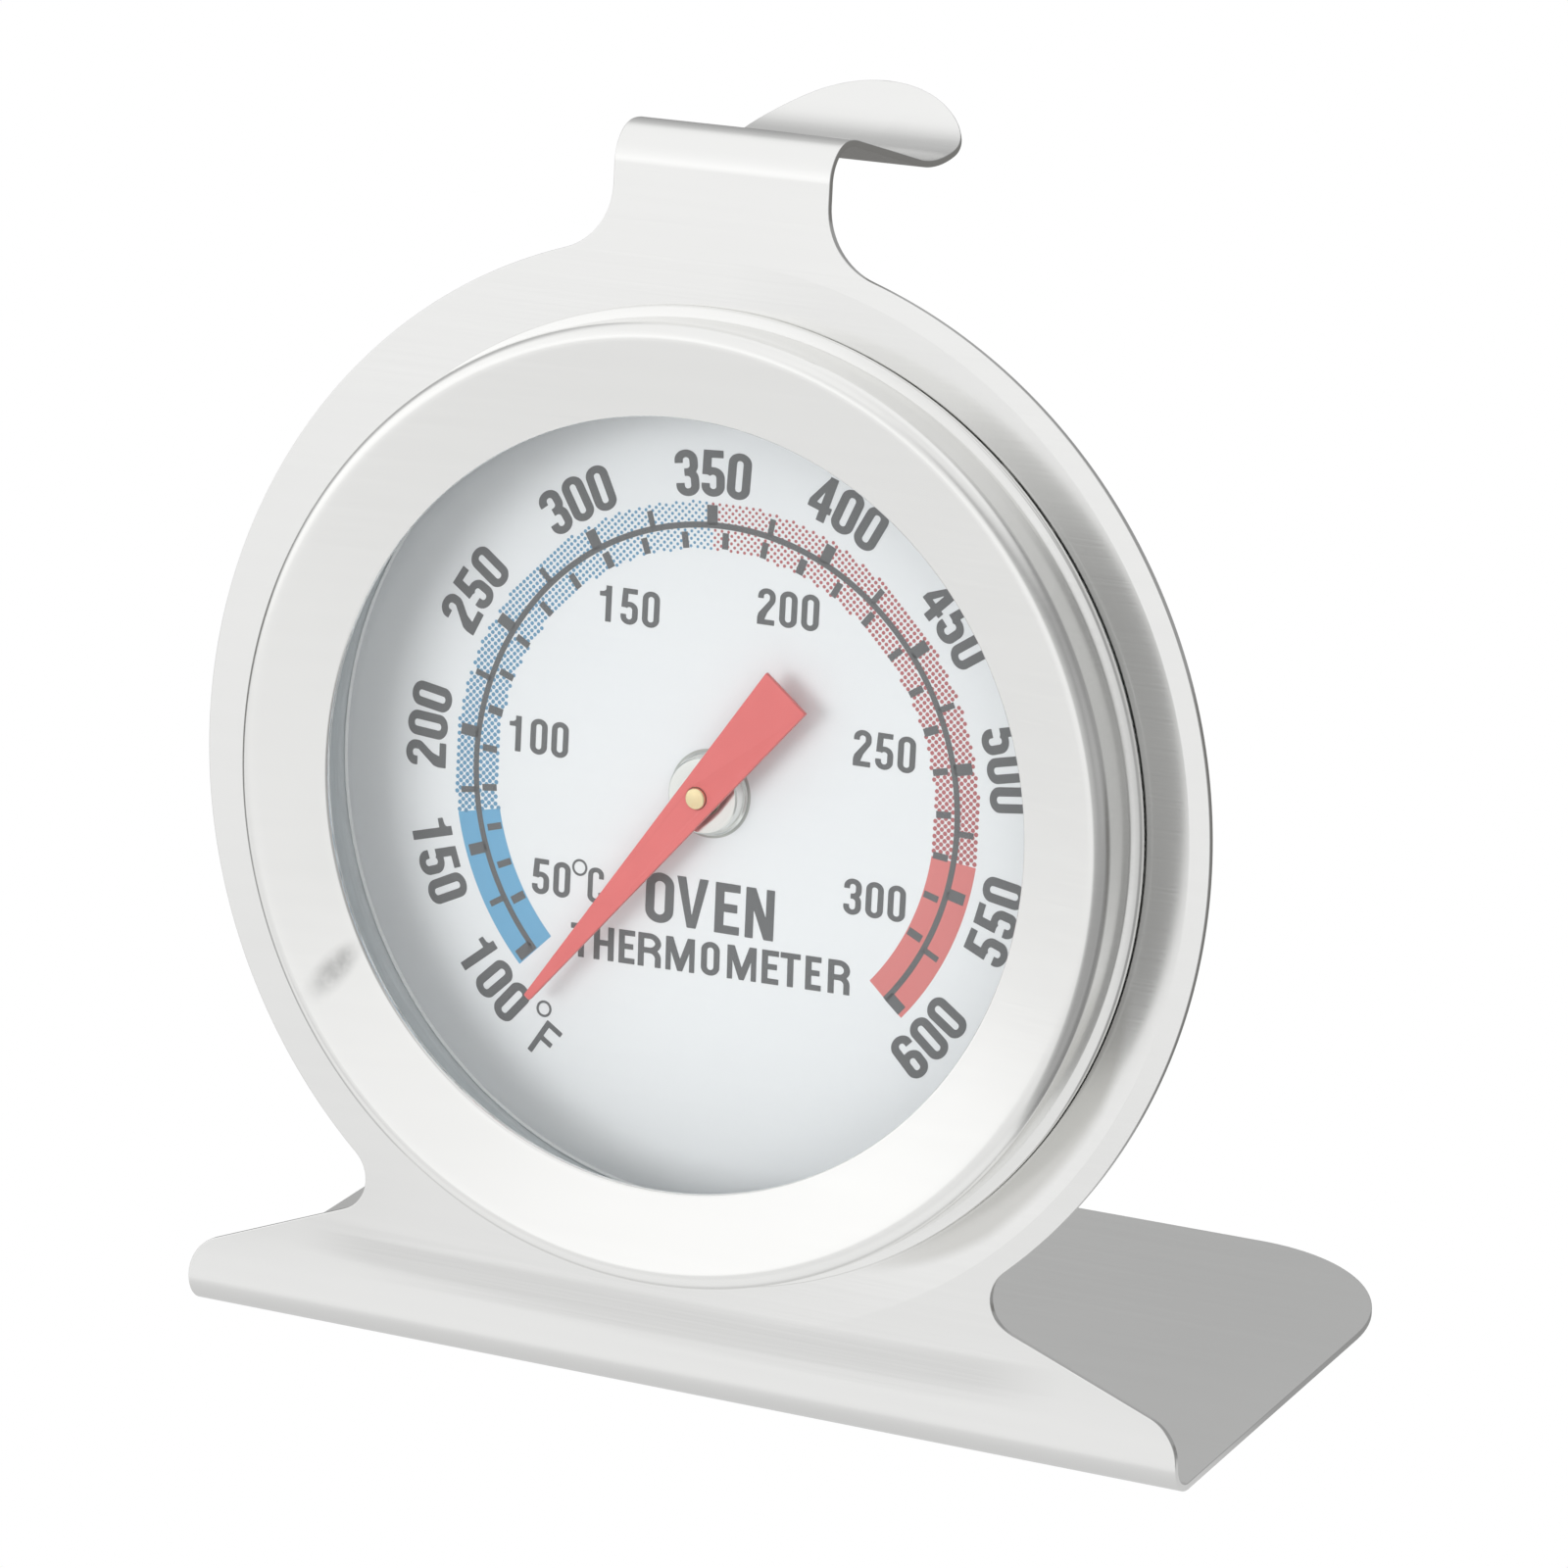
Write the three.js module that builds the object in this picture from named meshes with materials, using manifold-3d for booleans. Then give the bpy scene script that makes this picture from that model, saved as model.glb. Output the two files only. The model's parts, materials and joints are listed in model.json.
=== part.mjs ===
// Oven thermometer: a folded sheet stand with a round plate, a foot and a hook,
// carrying a bezel, a glass, a dial and a bimetal movement.
// Millimetres, +Z up, front faces -Y. The dial group leans back by LEAN.
// Inside the dial group: x right, y back along the spindle, z up the plate;
// y = 0 is the front face of the round plate, so a height h in front of it is y = -h.
import * as THREE from "three";
import { mergeVertices } from "three/addons/utils/BufferGeometryUtils.js";
import Module from "manifold-3d";

const wasm = await Module();
wasm.setup();

// ---------- driving dimensions ----------
const RAD = Math.PI / 180;
const LEAN = 7 * RAD; // the plate leans back
const CENTRE_H = 34.1; // dial centre above the floor
const CENTRE_Y = -12.33; // dial centre behind the origin (negative: in front of it)
const SHEET = 0.4; // stand and bezel sheet

const PLATE_R = 31; // round plate
const PLATE_HOLE_R = 24.8; // hole for the case cup
const FOOT_HALF = 31.2; // half the width of the foot
const FOOT_REAR_Y = 31.8; // rear edge of the foot, behind the dial centre
const FOOT_CORNER_R = 10.6;
const FOOT_BEND_R = 1.8; // outer radius of the front bend
const WAIST_R = 2.0; // concave fillet between round plate and shoulder
const SHOULDER_X = 21.7; // a point on the sloping shoulder
const SHOULDER_Z = -27.02;
const SHOULDER_SLOPE = 20.5 * RAD;
const SHOULDER_CORNER_R = 2.6;
const NECK_HALF = 6.56; // half the width of neck and hook
const NECK_FILLET_R = 4.0;
const HOOK_START = 34.54; // along the plate, where the neck bends back
const HOOK_BEND_R = 2.22;
const HOOK_BEND = 87 * RAD;
const HOOK_CREST_R = 4.57;
const HOOK_CREST = 15.2 * RAD;
const HOOK_RUN = 7.77;
const HOOK_CURL_R = 8.87;
const HOOK_CURL = 54.3 * RAD;
const HOOK_TIP = 1.42;
const HOOK_END_LENGTH = 5.0; // length of the rounded end, seen from above

const WINDOW_R = 21.47; // window in the bezel
const BEZEL_R = 26.7; // skirt
const BEZEL_FOOT_R = 27.25; // flared foot of the skirt
const BEZEL_H = 4.0; // height of the outer corner in front of the plate
const BEZEL_CORNER_R = 0.7;
const LIP_H = 2.95; // height of the window's edge
const TAB_W = 4.0; // bezel tabs, folded over behind the plate
const TAB_ANGLES = [45, 135, 225, 315];

const LENS_R = 25.9;
const LENS_T = 1.2;
const LENS_BACK = 1.05;
const SPACER_IN_R = 23.45;
const SPACER_OUT_R = 23.8;
const DIAL_R = 23.8;
const DIAL_FACE = -2.65; // behind the plate's front face
const DIAL_T = 0.5;
const CUP_WALL_R = 24.5; // upper wall, outside
const CUP_LOWER_R = 22.9; // lower wall, outside
const CUP_FLOOR = -9.7; // outside of the floor
const VENT_R = 1.6;
const VENT_PCR = 16.5;
const VENTS = 8;

const POINTER_ANGLE = 231.8 * RAD; // seen from the front, anticlockwise from +x
const POINTER_TIP = 16.3;
const POINTER_TAIL = 8.4;
const POINTER_TAIL_W = 3.0;
const POINTER_TIP_W = 0.45;
const POINTER_BACK = -1.25;
const POINTER_T = 0.3;
const PIN_R = 0.6; // front end of the spindle
const SPINDLE_R = 0.8;
const PIVOT_R = 0.5; // rear end of the spindle

const COIL_FRONT = -5.0;
const COIL_BACK = -8.0;
const COIL_T = 0.35;
const COIL_R0 = 2.4;
const COIL_R1 = 9.4;
const COIL_TURNS = 6.4;
const POST_ANGLE = 300 * RAD; // where the coil's outer end is held

// ---------- geometry helpers ----------
function clean(geometry) {
  const g = (geometry.index ? geometry.toNonIndexed() : geometry).clone();
  g.deleteAttribute("normal");
  g.deleteAttribute("uv");
  const m = mergeVertices(g, 1e-4);
  const src = m.index.array,
    kept = [];
  for (let i = 0; i < src.length; i += 3) {
    const [a, b, c] = [src[i], src[i + 1], src[i + 2]];
    if (a !== b && b !== c && c !== a) kept.push(a, b, c);
  }
  m.setIndex(kept);
  return m;
}
function solid(geometry) {
  const m = clean(geometry);
  return new wasm.Manifold(
    new wasm.Mesh({
      numProp: 3,
      vertProperties: new Float32Array(m.attributes.position.array),
      triVerts: new Uint32Array(m.index.array),
    }),
  );
}
function geometryOf(manifold) {
  const m = manifold.getMesh();
  const v = new Float32Array(m.numVert * 3);
  for (let i = 0; i < m.numVert; i++)
    v.set(m.vertProperties.subarray(i * m.numProp, i * m.numProp + 3), i * 3);
  const g = new THREE.BufferGeometry()
    .setAttribute("position", new THREE.BufferAttribute(v, 3))
    .setIndex(new THREE.BufferAttribute(new Uint32Array(m.triVerts), 1));
  const flat = g.toNonIndexed();
  flat.computeVertexNormals();
  return flat;
}
// A body of revolution about the spindle axis, from a closed [radius, height] outline.
function turned(outline, segments = 64) {
  const pts = outline.map(([r, h]) => new THREE.Vector2(r, -h));
  let area = 0;
  pts.forEach((a, i) => {
    const b = pts[(i + 1) % pts.length];
    area += a.x * b.y - b.x * a.y;
  });
  if (area < 0) pts.reverse();
  pts.push(pts[0].clone());
  return new THREE.LatheGeometry(pts, segments);
}
// A prism from [x, z] points in the plate's own plane, between two heights in front of it.
function platePrism(points, low, high, holes = []) {
  const shape = new THREE.Shape(points.map(([x, z]) => new THREE.Vector2(x, z)));
  shape.holes = holes.map(
    (h) => new THREE.Path(h.map(([x, z]) => new THREE.Vector2(x, z))),
  );
  const g = new THREE.ExtrudeGeometry(shape, {
    depth: high - low,
    bevelEnabled: false,
    steps: 1,
  });
  // shape x -> x, shape y -> z, extrusion -> -y
  g.applyMatrix4(
    new THREE.Matrix4().makeBasis(
      new THREE.Vector3(1, 0, 0),
      new THREE.Vector3(0, 0, 1),
      new THREE.Vector3(0, -1, 0),
    ),
  );
  g.translate(0, -low, 0);
  return g;
}
function arc(cx, cz, r, from, to, n) {
  const out = [];
  for (let i = 0; i <= n; i++) {
    const a = from + ((to - from) * i) / n;
    out.push([cx + r * Math.cos(a), cz + r * Math.sin(a)]);
  }
  return out;
}
// A round rod along the spindle axis, standing at polar place (r, angle) on the dial group.
function rod(radius, low, high, place = 0, angle = 0, segments = 24) {
  const g = new THREE.CylinderGeometry(radius, radius, high - low, segments);
  g.translate(place * Math.cos(angle), -(low + high) / 2, place * Math.sin(angle));
  return g;
}
// Turns a geometry about the spindle axis, anticlockwise seen from the front.
function spin(g, angle) {
  return g.applyMatrix4(new THREE.Matrix4().makeRotationY(-angle));
}

// ---------- stand bracket ----------
// Outer skin of the folded sheet, as [y, z, heading] from the foot's rear edge to the hook's tip.
function foldedPath() {
  const sin = Math.sin(LEAN),
    cos = Math.cos(LEAN);
  const path = [];
  let y = FOOT_REAR_Y + 1.5,
    z = -CENTRE_H,
    a = Math.PI;
  const put = () => path.push([y, z, a]);
  const straight = (l) => {
    y += l * Math.cos(a);
    z += l * Math.sin(a);
    put();
  };
  const bend = (r, turn, n) => {
    const d = turn / n;
    const chord = 2 * r * Math.sin(Math.abs(d) / 2);
    for (let i = 0; i < n; i++) {
      y += chord * Math.cos(a + d / 2);
      z += chord * Math.sin(a + d / 2);
      a += d;
      put();
    }
  };
  put();
  const zc = -CENTRE_H + FOOT_BEND_R;
  const yc = (FOOT_BEND_R + sin * zc) / cos;
  straight(y - yc);
  bend(FOOT_BEND_R, -(Math.PI / 2 + LEAN), 8);
  // up the leaning plate to the hook's bend
  const upTo = HOOK_START - (z * cos + y * sin);
  straight(upTo);
  bend(HOOK_BEND_R, -HOOK_BEND, 9);
  bend(HOOK_CREST_R, -HOOK_CREST, 3);
  straight(HOOK_RUN);
  bend(HOOK_CURL_R, HOOK_CURL, 8);
  straight(HOOK_TIP);
  return path;
}
function standBracket() {
  const path = foldedPath();
  const outer = path.map(([y, z]) => new THREE.Vector2(y, z));
  const inner = path.map(
    ([y, z, a]) => new THREE.Vector2(y + SHEET * Math.sin(a), z - SHEET * Math.cos(a)),
  );
  const outline = [...outer, ...inner.reverse()];
  const sheet = new THREE.ExtrudeGeometry(new THREE.Shape(outline), {
    depth: 70,
    bevelEnabled: false,
    steps: 1,
  });
  sheet.applyMatrix4(
    new THREE.Matrix4().makeBasis(
      new THREE.Vector3(0, 1, 0),
      new THREE.Vector3(0, 0, 1),
      new THREE.Vector3(1, 0, 0),
    ),
  );
  sheet.translate(-35, 0, 0);

  // front outline of plate, neck and shoulders, right half, from the top down
  const neckZ = Math.sqrt((PLATE_R + NECK_FILLET_R) ** 2 - (NECK_HALF + NECK_FILLET_R) ** 2);
  const neckC = [NECK_HALF + NECK_FILLET_R, neckZ];
  const plateTop = Math.atan2(neckZ, neckC[0]);
  const up = [Math.sin(SHOULDER_SLOPE), Math.cos(SHOULDER_SLOPE)];
  const along = [Math.cos(SHOULDER_SLOPE), -Math.sin(SHOULDER_SLOPE)];
  const p0 = [SHOULDER_X + WAIST_R * up[0], SHOULDER_Z + WAIST_R * up[1]];
  const b = p0[0] * along[0] + p0[1] * along[1];
  const c = p0[0] ** 2 + p0[1] ** 2 - (PLATE_R + WAIST_R) ** 2;
  const s = -b + Math.sqrt(b * b - c);
  const waistC = [p0[0] + s * along[0], p0[1] + s * along[1]];
  const plateLow = Math.atan2(waistC[1], waistC[0]);
  // outer corner of the shoulder
  const cornerZ =
    SHOULDER_Z - (FOOT_HALF - SHOULDER_X) * Math.tan(SHOULDER_SLOPE);
  const tangent =
    SHOULDER_CORNER_R * Math.tan((Math.PI / 2 - SHOULDER_SLOPE) / 2);
  const cornerC = [FOOT_HALF - SHOULDER_CORNER_R, cornerZ - tangent];
  const right = [
    [NECK_HALF, 35.5],
    ...arc(neckC[0], neckC[1], NECK_FILLET_R, Math.PI, Math.PI + plateTop, 8),
    ...arc(0, 0, PLATE_R, plateTop, plateLow, 60).slice(1, -1),
    ...arc(waistC[0], waistC[1], WAIST_R, Math.PI + plateLow, 1.5 * Math.PI - SHOULDER_SLOPE, 8),
    ...arc(cornerC[0], cornerC[1], SHOULDER_CORNER_R, Math.PI / 2 - SHOULDER_SLOPE, 0, 6),
    [FOOT_HALF, -34],
  ];
  const left = right.map(([x, z]) => [-x, z]).reverse();
  const front = solid(platePrism([...right, ...left].reverse(), -3, 3)).rotate([-LEAN / RAD, 0, 0]);

  // foot seen from above
  const footShape = [
    [-FOOT_HALF, -9],
    [FOOT_HALF, -9],
    ...arc(FOOT_HALF - FOOT_CORNER_R, FOOT_REAR_Y - FOOT_CORNER_R, FOOT_CORNER_R, 0, Math.PI / 2, 12),
    ...arc(-FOOT_HALF + FOOT_CORNER_R, FOOT_REAR_Y - FOOT_CORNER_R, FOOT_CORNER_R, Math.PI / 2, Math.PI, 12),
  ];
  const plan = (points, z0, z1) => {
    const g = new THREE.ExtrudeGeometry(
      new THREE.Shape(points.map(([x, y]) => new THREE.Vector2(x, y))),
      { depth: z1 - z0, bevelEnabled: false, steps: 1 },
    );
    g.translate(0, 0, z0);
    return g;
  };
  const foot = solid(plan(footShape, -CENTRE_H - 1, -CENTRE_H + 2.2));

  // hook tongue seen from above, with a rounded end
  const tipY = path[path.length - 1][0];
  const end = [];
  for (let i = 0; i <= 20; i++) {
    const t = (Math.PI * i) / 20;
    end.push([NECK_HALF * Math.cos(t), tipY - HOOK_END_LENGTH + HOOK_END_LENGTH * Math.sin(t)]);
  }
  const tongue = solid(plan([[-NECK_HALF, -6], [NECK_HALF, -6], ...end], 31.5, 44));

  let body = solid(sheet).intersect(front.add(foot).add(tongue));

  // hole for the case cup, and slots for the bezel's tabs
  const hole = solid(rod(PLATE_HOLE_R, -4, 4, 0, 0, 64)).rotate([-LEAN / RAD, 0, 0]);
  body = body.subtract(hole);
  for (const deg of TAB_ANGLES) {
    const g = new THREE.BoxGeometry(1.0, 6, TAB_W + 0.6);
    g.translate(26.55, 0, 0);
    spin(g, deg * RAD);
    body = body.subtract(solid(g).rotate([-LEAN / RAD, 0, 0]));
  }
  return geometryOf(body);
}

// ---------- bezel ----------
function bezel() {
  const t = SHEET,
    rc = BEZEL_R - BEZEL_CORNER_R,
    hc = BEZEL_H - BEZEL_CORNER_R;
  const corner = (r, from, to, n) => arc(rc, hc, r, from, to, n);
  const ring = turned([
    [WINDOW_R, LIP_H - 0.1],
    [WINDOW_R + 0.12, LIP_H],
    ...corner(BEZEL_CORNER_R, 102 * RAD, 0, 6),
    [BEZEL_R, 1.5],
    [26.78, 1.2],
    [27.0, 0.95],
    [27.18, 0.72],
    [BEZEL_FOOT_R, 0.45],
    [BEZEL_FOOT_R, 0.2],
    [BEZEL_FOOT_R - t, 0.2],
    [BEZEL_FOOT_R - t, 0.45],
    [26.6, 0.75],
    [26.38, 1.1],
    [BEZEL_R - t, 1.5],
    ...corner(BEZEL_CORNER_R - t, 0, 102 * RAD, 2),
    [WINDOW_R, LIP_H - t],
  ]);
  let body = solid(ring);
  for (const deg of TAB_ANGLES) {
    const leg = new THREE.BoxGeometry(0.4, 2.0, TAB_W);
    leg.translate(26.55, 0.1, 0); // heights 0.9 to -1.1
    const fold = new THREE.BoxGeometry(2.6, 0.4, TAB_W);
    fold.translate(26.35 + 1.3, 0.9, 0); // heights -0.7 to -1.1
    const tab = solid(leg).add(solid(fold));
    body = body.add(tab.rotate([0, -deg, 0]));
  }
  return geometryOf(body);
}

// ---------- glass, spacer, dial ----------
const lens = () =>
  turned([
    [0, LENS_BACK],
    [LENS_R - 0.1, LENS_BACK],
    [LENS_R, LENS_BACK + 0.1],
    [LENS_R, LENS_BACK + LENS_T - 0.1],
    [LENS_R - 0.1, LENS_BACK + LENS_T],
    [0, LENS_BACK + LENS_T],
  ]);
const spacerRing = () =>
  turned([
    [SPACER_IN_R, -2.35],
    [SPACER_OUT_R, -2.35],
    [SPACER_OUT_R, 0.75],
    [SPACER_IN_R, 0.75],
  ]);
const dialPlate = () =>
  turned([
    [1.75, DIAL_FACE - DIAL_T],
    [DIAL_R, DIAL_FACE - DIAL_T],
    [DIAL_R, DIAL_FACE],
    [1.75, DIAL_FACE],
  ]);

// ---------- case cup ----------
function caseCup() {
  const t = SHEET;
  const floor = CUP_FLOOR + t;
  let body = solid(
    turned([
      [25.9, 0.7],
      [24.1, 0.7],
      [24.1, -3.45],
      [CUP_LOWER_R - t, -3.45],
      [CUP_LOWER_R - t, -8.5],
      [22.2, -9.05],
      [21.6, floor],
      [1.6, floor],
      [1.6, CUP_FLOOR],
      [21.8, CUP_FLOOR],
      [22.55, -9.4],
      [CUP_LOWER_R, -8.6],
      [CUP_LOWER_R, -3.85],
      [CUP_WALL_R, -3.85],
      [CUP_WALL_R, 0.3],
      [25.9, 0.3],
    ]),
  );
  for (let i = 0; i < VENTS; i++)
    body = body.subtract(
      solid(rod(VENT_R, -11, -8, VENT_PCR, ((i + 0.5) * 2 * Math.PI) / VENTS, 16)),
    );
  body = body.subtract(solid(rod(0.8, -11, -8, 11.9, POST_ANGLE, 16)));
  return geometryOf(body);
}

// ---------- movement ----------
const frontBush = () =>
  turned(
    [
      [1.1, -1.85],
      [1.95, -1.85],
      [2.07, -1.92],
      [2.3, -2.3],
      [2.35, -2.4],
      [1.45, -2.4],
      [1.45, -3.4],
      [2.1, -3.4],
      [1.95, -3.75],
      [SPINDLE_R + 0.09, -3.9],
      [SPINDLE_R + 0.09, -2.9],
      [1.1, -2.8],
    ],
    40,
  );
const rearBush = () =>
  turned(
    [
      [PIVOT_R + 0.09, -8.85],
      [2.1, -8.85],
      [2.1, -9.15],
      [1.35, -9.15],
      [1.35, -9.85],
      [2.4, -9.85],
      [2.3, -10.25],
      [PIVOT_R + 0.09, -10.3],
    ],
    32,
  );
const spindle = () =>
  turned(
    [
      [0, -0.72],
      [0.45, -0.75],
      [PIN_R, -0.85],
      [PIN_R, -1.35],
      [SPINDLE_R, -1.35],
      [SPINDLE_R, -8.65],
      [PIVOT_R, -8.65],
      [PIVOT_R, -9.95],
      [PIVOT_R - 0.1, -10.1],
      [0, -10.15],
    ],
    24,
  );
const snapWasher = () =>
  turned([[0.95, -4.45], [2.0, -4.45], [2.0, -4.15], [0.95, -4.15]], 32);
const coilCollet = () =>
  turned([[0.95, COIL_BACK - 0.1], [1.9, COIL_BACK - 0.1], [1.9, COIL_FRONT + 0.1], [0.95, COIL_FRONT + 0.1]], 32);

function pointer() {
  const along = [Math.cos(POINTER_ANGLE), Math.sin(POINTER_ANGLE)];
  const side = [-along[1], along[0]];
  const at = (l, w) => [l * along[0] + w * side[0], l * along[1] + w * side[1]];
  const outline = [
    at(POINTER_TIP, -POINTER_TIP_W / 2),
    at(POINTER_TIP, POINTER_TIP_W / 2),
    at(-POINTER_TAIL, POINTER_TAIL_W / 2),
    at(-POINTER_TAIL, -POINTER_TAIL_W / 2),
  ];
  const hole = arc(0, 0, PIN_R + 0.12, 2 * Math.PI, 0, 24).slice(0, -1);
  return geometryOf(solid(platePrism(outline, POINTER_BACK, POINTER_BACK + POINTER_T, [hole])));
}

// Flat spiral strip; its outer end runs straight to the post.
function bimetalCoil() {
  const n = Math.round(COIL_TURNS * 26);
  const mid = [];
  const start = POST_ANGLE - COIL_TURNS * 2 * Math.PI;
  for (let i = 0; i <= n; i++) {
    const f = i / n;
    const a = start + f * COIL_TURNS * 2 * Math.PI;
    const r = COIL_R0 + (COIL_R1 - COIL_R0) * f;
    mid.push([r * Math.cos(a), r * Math.sin(a)]);
  }
  // straight end, along the tangent
  const t = [-Math.sin(POST_ANGLE), Math.cos(POST_ANGLE)];
  const last = mid[mid.length - 1];
  mid.push([last[0] + 2.4 * t[0], last[1] + 2.4 * t[1]]);
  const left = [],
    right = [];
  mid.forEach(([x, z], i) => {
    const p = mid[Math.max(0, i - 1)],
      q = mid[Math.min(mid.length - 1, i + 1)];
    const d = Math.hypot(q[0] - p[0], q[1] - p[1]);
    const nx = (-(q[1] - p[1]) / d) * (COIL_T / 2),
      nz = ((q[0] - p[0]) / d) * (COIL_T / 2);
    left.push([x + nx, z + nz]);
    right.push([x - nx, z - nz]);
  });
  let body = solid(platePrism([...right, ...left.reverse()], COIL_BACK, COIL_FRONT));
  body = body.subtract(solid(radialRod(0.6, 6, 14)));
  return geometryOf(body);
}
// A round rod along the radius through the coil's outer end.
function radialRod(radius, from, to) {
  const g = new THREE.CylinderGeometry(radius, radius, to - from, 20);
  g.rotateZ(Math.PI / 2);
  g.translate((from + to) / 2, -(COIL_FRONT + COIL_BACK) / 2, 1.1);
  return spin(g, POST_ANGLE);
}
// L-shaped post: foot on the cup's floor, upright outside the coil's end.
function coilPost() {
  const upright = new THREE.BoxGeometry(0.5, 4.3, 3.6);
  upright.translate(COIL_R1 + 0.175 + 0.15 + 0.25, 9.1 - 2.15, 0.9); // heights -9.1 to -4.8
  const foot = new THREE.BoxGeometry(3.9, 0.5, 3.6);
  foot.translate(COIL_R1 + 0.325 + 1.95, 8.85, 0.9);
  let body = solid(spin(upright, POST_ANGLE)).add(solid(spin(foot, POST_ANGLE)));
  body = body.subtract(solid(radialRod(0.6, 6, 14)));
  body = body.subtract(solid(rod(0.8, -11, -8, 11.9, POST_ANGLE, 16)));
  return geometryOf(body);
}
function coilRivet() {
  const r = COIL_R1;
  const body = solid(radialRod(0.45, r - 0.6, r + 1.1))
    .add(solid(radialRod(0.8, r - 0.62, r - 0.3)))
    .add(solid(radialRod(0.8, r + 0.95, r + 1.35)));
  return geometryOf(body);
}
function postRivet() {
  const body = solid(rod(0.6, -10.0, -8.3, 11.9, POST_ANGLE, 20))
    .add(solid(rod(1.15, -8.5, -8.1, 11.9, POST_ANGLE, 20)))
    .add(solid(rod(1.25, -10.25, -9.82, 11.9, POST_ANGLE, 20)));
  return geometryOf(body);
}

// ---------- materials ----------
const mat = (color, roughness, metalness, extra = {}) =>
  new THREE.MeshStandardMaterial({ color, roughness, metalness, ...extra });
const brushed = () => mat(0xdedfdc, 0.38, 1.0);
const steel = () => mat(0xc4c4c2, 0.35, 1.0);
const brass = () => mat(0xe8cf96, 0.3, 1.0);

// ---------- assembly ----------
const root = new THREE.Group();
const standGroup = new THREE.Group();
standGroup.position.set(0, CENTRE_Y, CENTRE_H);
root.add(standGroup);
const dialGroup = new THREE.Group(); // leans back with the plate
dialGroup.rotation.x = -LEAN;
standGroup.add(dialGroup);
const movement = new THREE.Group(); // turns on the spindle axis
dialGroup.add(movement);

const add = (group, name, geometry, material) => {
  const mesh = new THREE.Mesh(geometry, material);
  mesh.name = name;
  group.add(mesh);
  return mesh;
};

add(standGroup, "stand_bracket", standBracket(), brushed());
add(dialGroup, "bezel", bezel(), brushed());
add(dialGroup, "lens", lens(), mat(0xf4fafa, 0.03, 0, { transparent: true, opacity: 0.2 }));
add(dialGroup, "spacer_ring", spacerRing(), mat(0xb9bdbd, 0.4, 1.0));
add(dialGroup, "dial_plate", dialPlate(), mat(0xe7eaeb, 0.5, 0.1));
add(dialGroup, "case_cup", caseCup(), steel());
add(dialGroup, "front_bush", frontBush(), mat(0xe4e5e0, 0.3, 1.0));
add(dialGroup, "rear_bush", rearBush(), brass());
add(dialGroup, "coil_post", coilPost(), steel());
add(dialGroup, "coil_rivet", coilRivet(), steel());
add(dialGroup, "post_rivet", postRivet(), steel());
add(dialGroup, "bimetal_coil", bimetalCoil(), mat(0xb8a88c, 0.4, 1.0));
add(movement, "pointer", pointer(), mat(0xe87c7e, 0.45, 0.0));
add(movement, "spindle", spindle(), brass());
add(movement, "snap_washer", snapWasher(), steel());
add(movement, "coil_collet", coilCollet(), brass());

export default root;
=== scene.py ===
import json
import math
import bpy
import bmesh
import numpy as np
from mathutils import Matrix, Vector
from mathutils.geometry import tessellate_polygon


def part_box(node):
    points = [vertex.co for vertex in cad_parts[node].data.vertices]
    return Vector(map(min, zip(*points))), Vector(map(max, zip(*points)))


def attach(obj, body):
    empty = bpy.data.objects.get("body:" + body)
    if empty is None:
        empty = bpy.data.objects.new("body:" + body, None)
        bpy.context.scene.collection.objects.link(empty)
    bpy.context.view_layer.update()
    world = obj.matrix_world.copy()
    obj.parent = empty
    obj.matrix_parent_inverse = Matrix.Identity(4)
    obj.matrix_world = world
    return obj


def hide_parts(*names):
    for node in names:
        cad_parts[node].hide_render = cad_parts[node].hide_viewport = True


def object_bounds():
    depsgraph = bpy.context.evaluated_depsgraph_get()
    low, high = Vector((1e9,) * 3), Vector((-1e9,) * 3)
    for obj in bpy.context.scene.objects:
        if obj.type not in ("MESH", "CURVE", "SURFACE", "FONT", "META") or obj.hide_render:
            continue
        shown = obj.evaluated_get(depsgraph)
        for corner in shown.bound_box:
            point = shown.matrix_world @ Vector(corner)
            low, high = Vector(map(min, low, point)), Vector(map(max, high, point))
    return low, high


# Oven thermometer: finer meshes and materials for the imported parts.
# Lengths in this file are millimetres unless a line says metres; MM turns them into metres.
# Dial frame: x right, y back along the spindle, z up the plate, origin on the round plate's front
# face at the spindle. A height h in front of that face is y = -h.

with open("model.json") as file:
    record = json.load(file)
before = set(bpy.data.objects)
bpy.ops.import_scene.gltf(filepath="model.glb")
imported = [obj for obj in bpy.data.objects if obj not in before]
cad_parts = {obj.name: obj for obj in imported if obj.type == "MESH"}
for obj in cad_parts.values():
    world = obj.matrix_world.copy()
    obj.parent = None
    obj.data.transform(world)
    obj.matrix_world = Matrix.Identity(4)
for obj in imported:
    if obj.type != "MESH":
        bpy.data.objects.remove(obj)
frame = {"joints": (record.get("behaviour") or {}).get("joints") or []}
CAD_LOW, CAD_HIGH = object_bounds()

MM = 0.001
RAD = math.pi / 180
joint = next(j for j in frame["joints"] if j["name"] == "pointer_turn")
CENTRE = Vector(joint["pos_m"])
AXIS = Vector(joint["axis"])
LEAN = math.atan2(-AXIS.z, AXIS.y)
DIAL = Matrix.Translation(CENTRE) @ Matrix.Rotation(-LEAN, 4, "X")
PRINT = DIAL @ Matrix.Translation((0.00015, 0, 0))  # the printing sits a touch to the right on its disc
STAND = Matrix.Translation(CENTRE)

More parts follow.
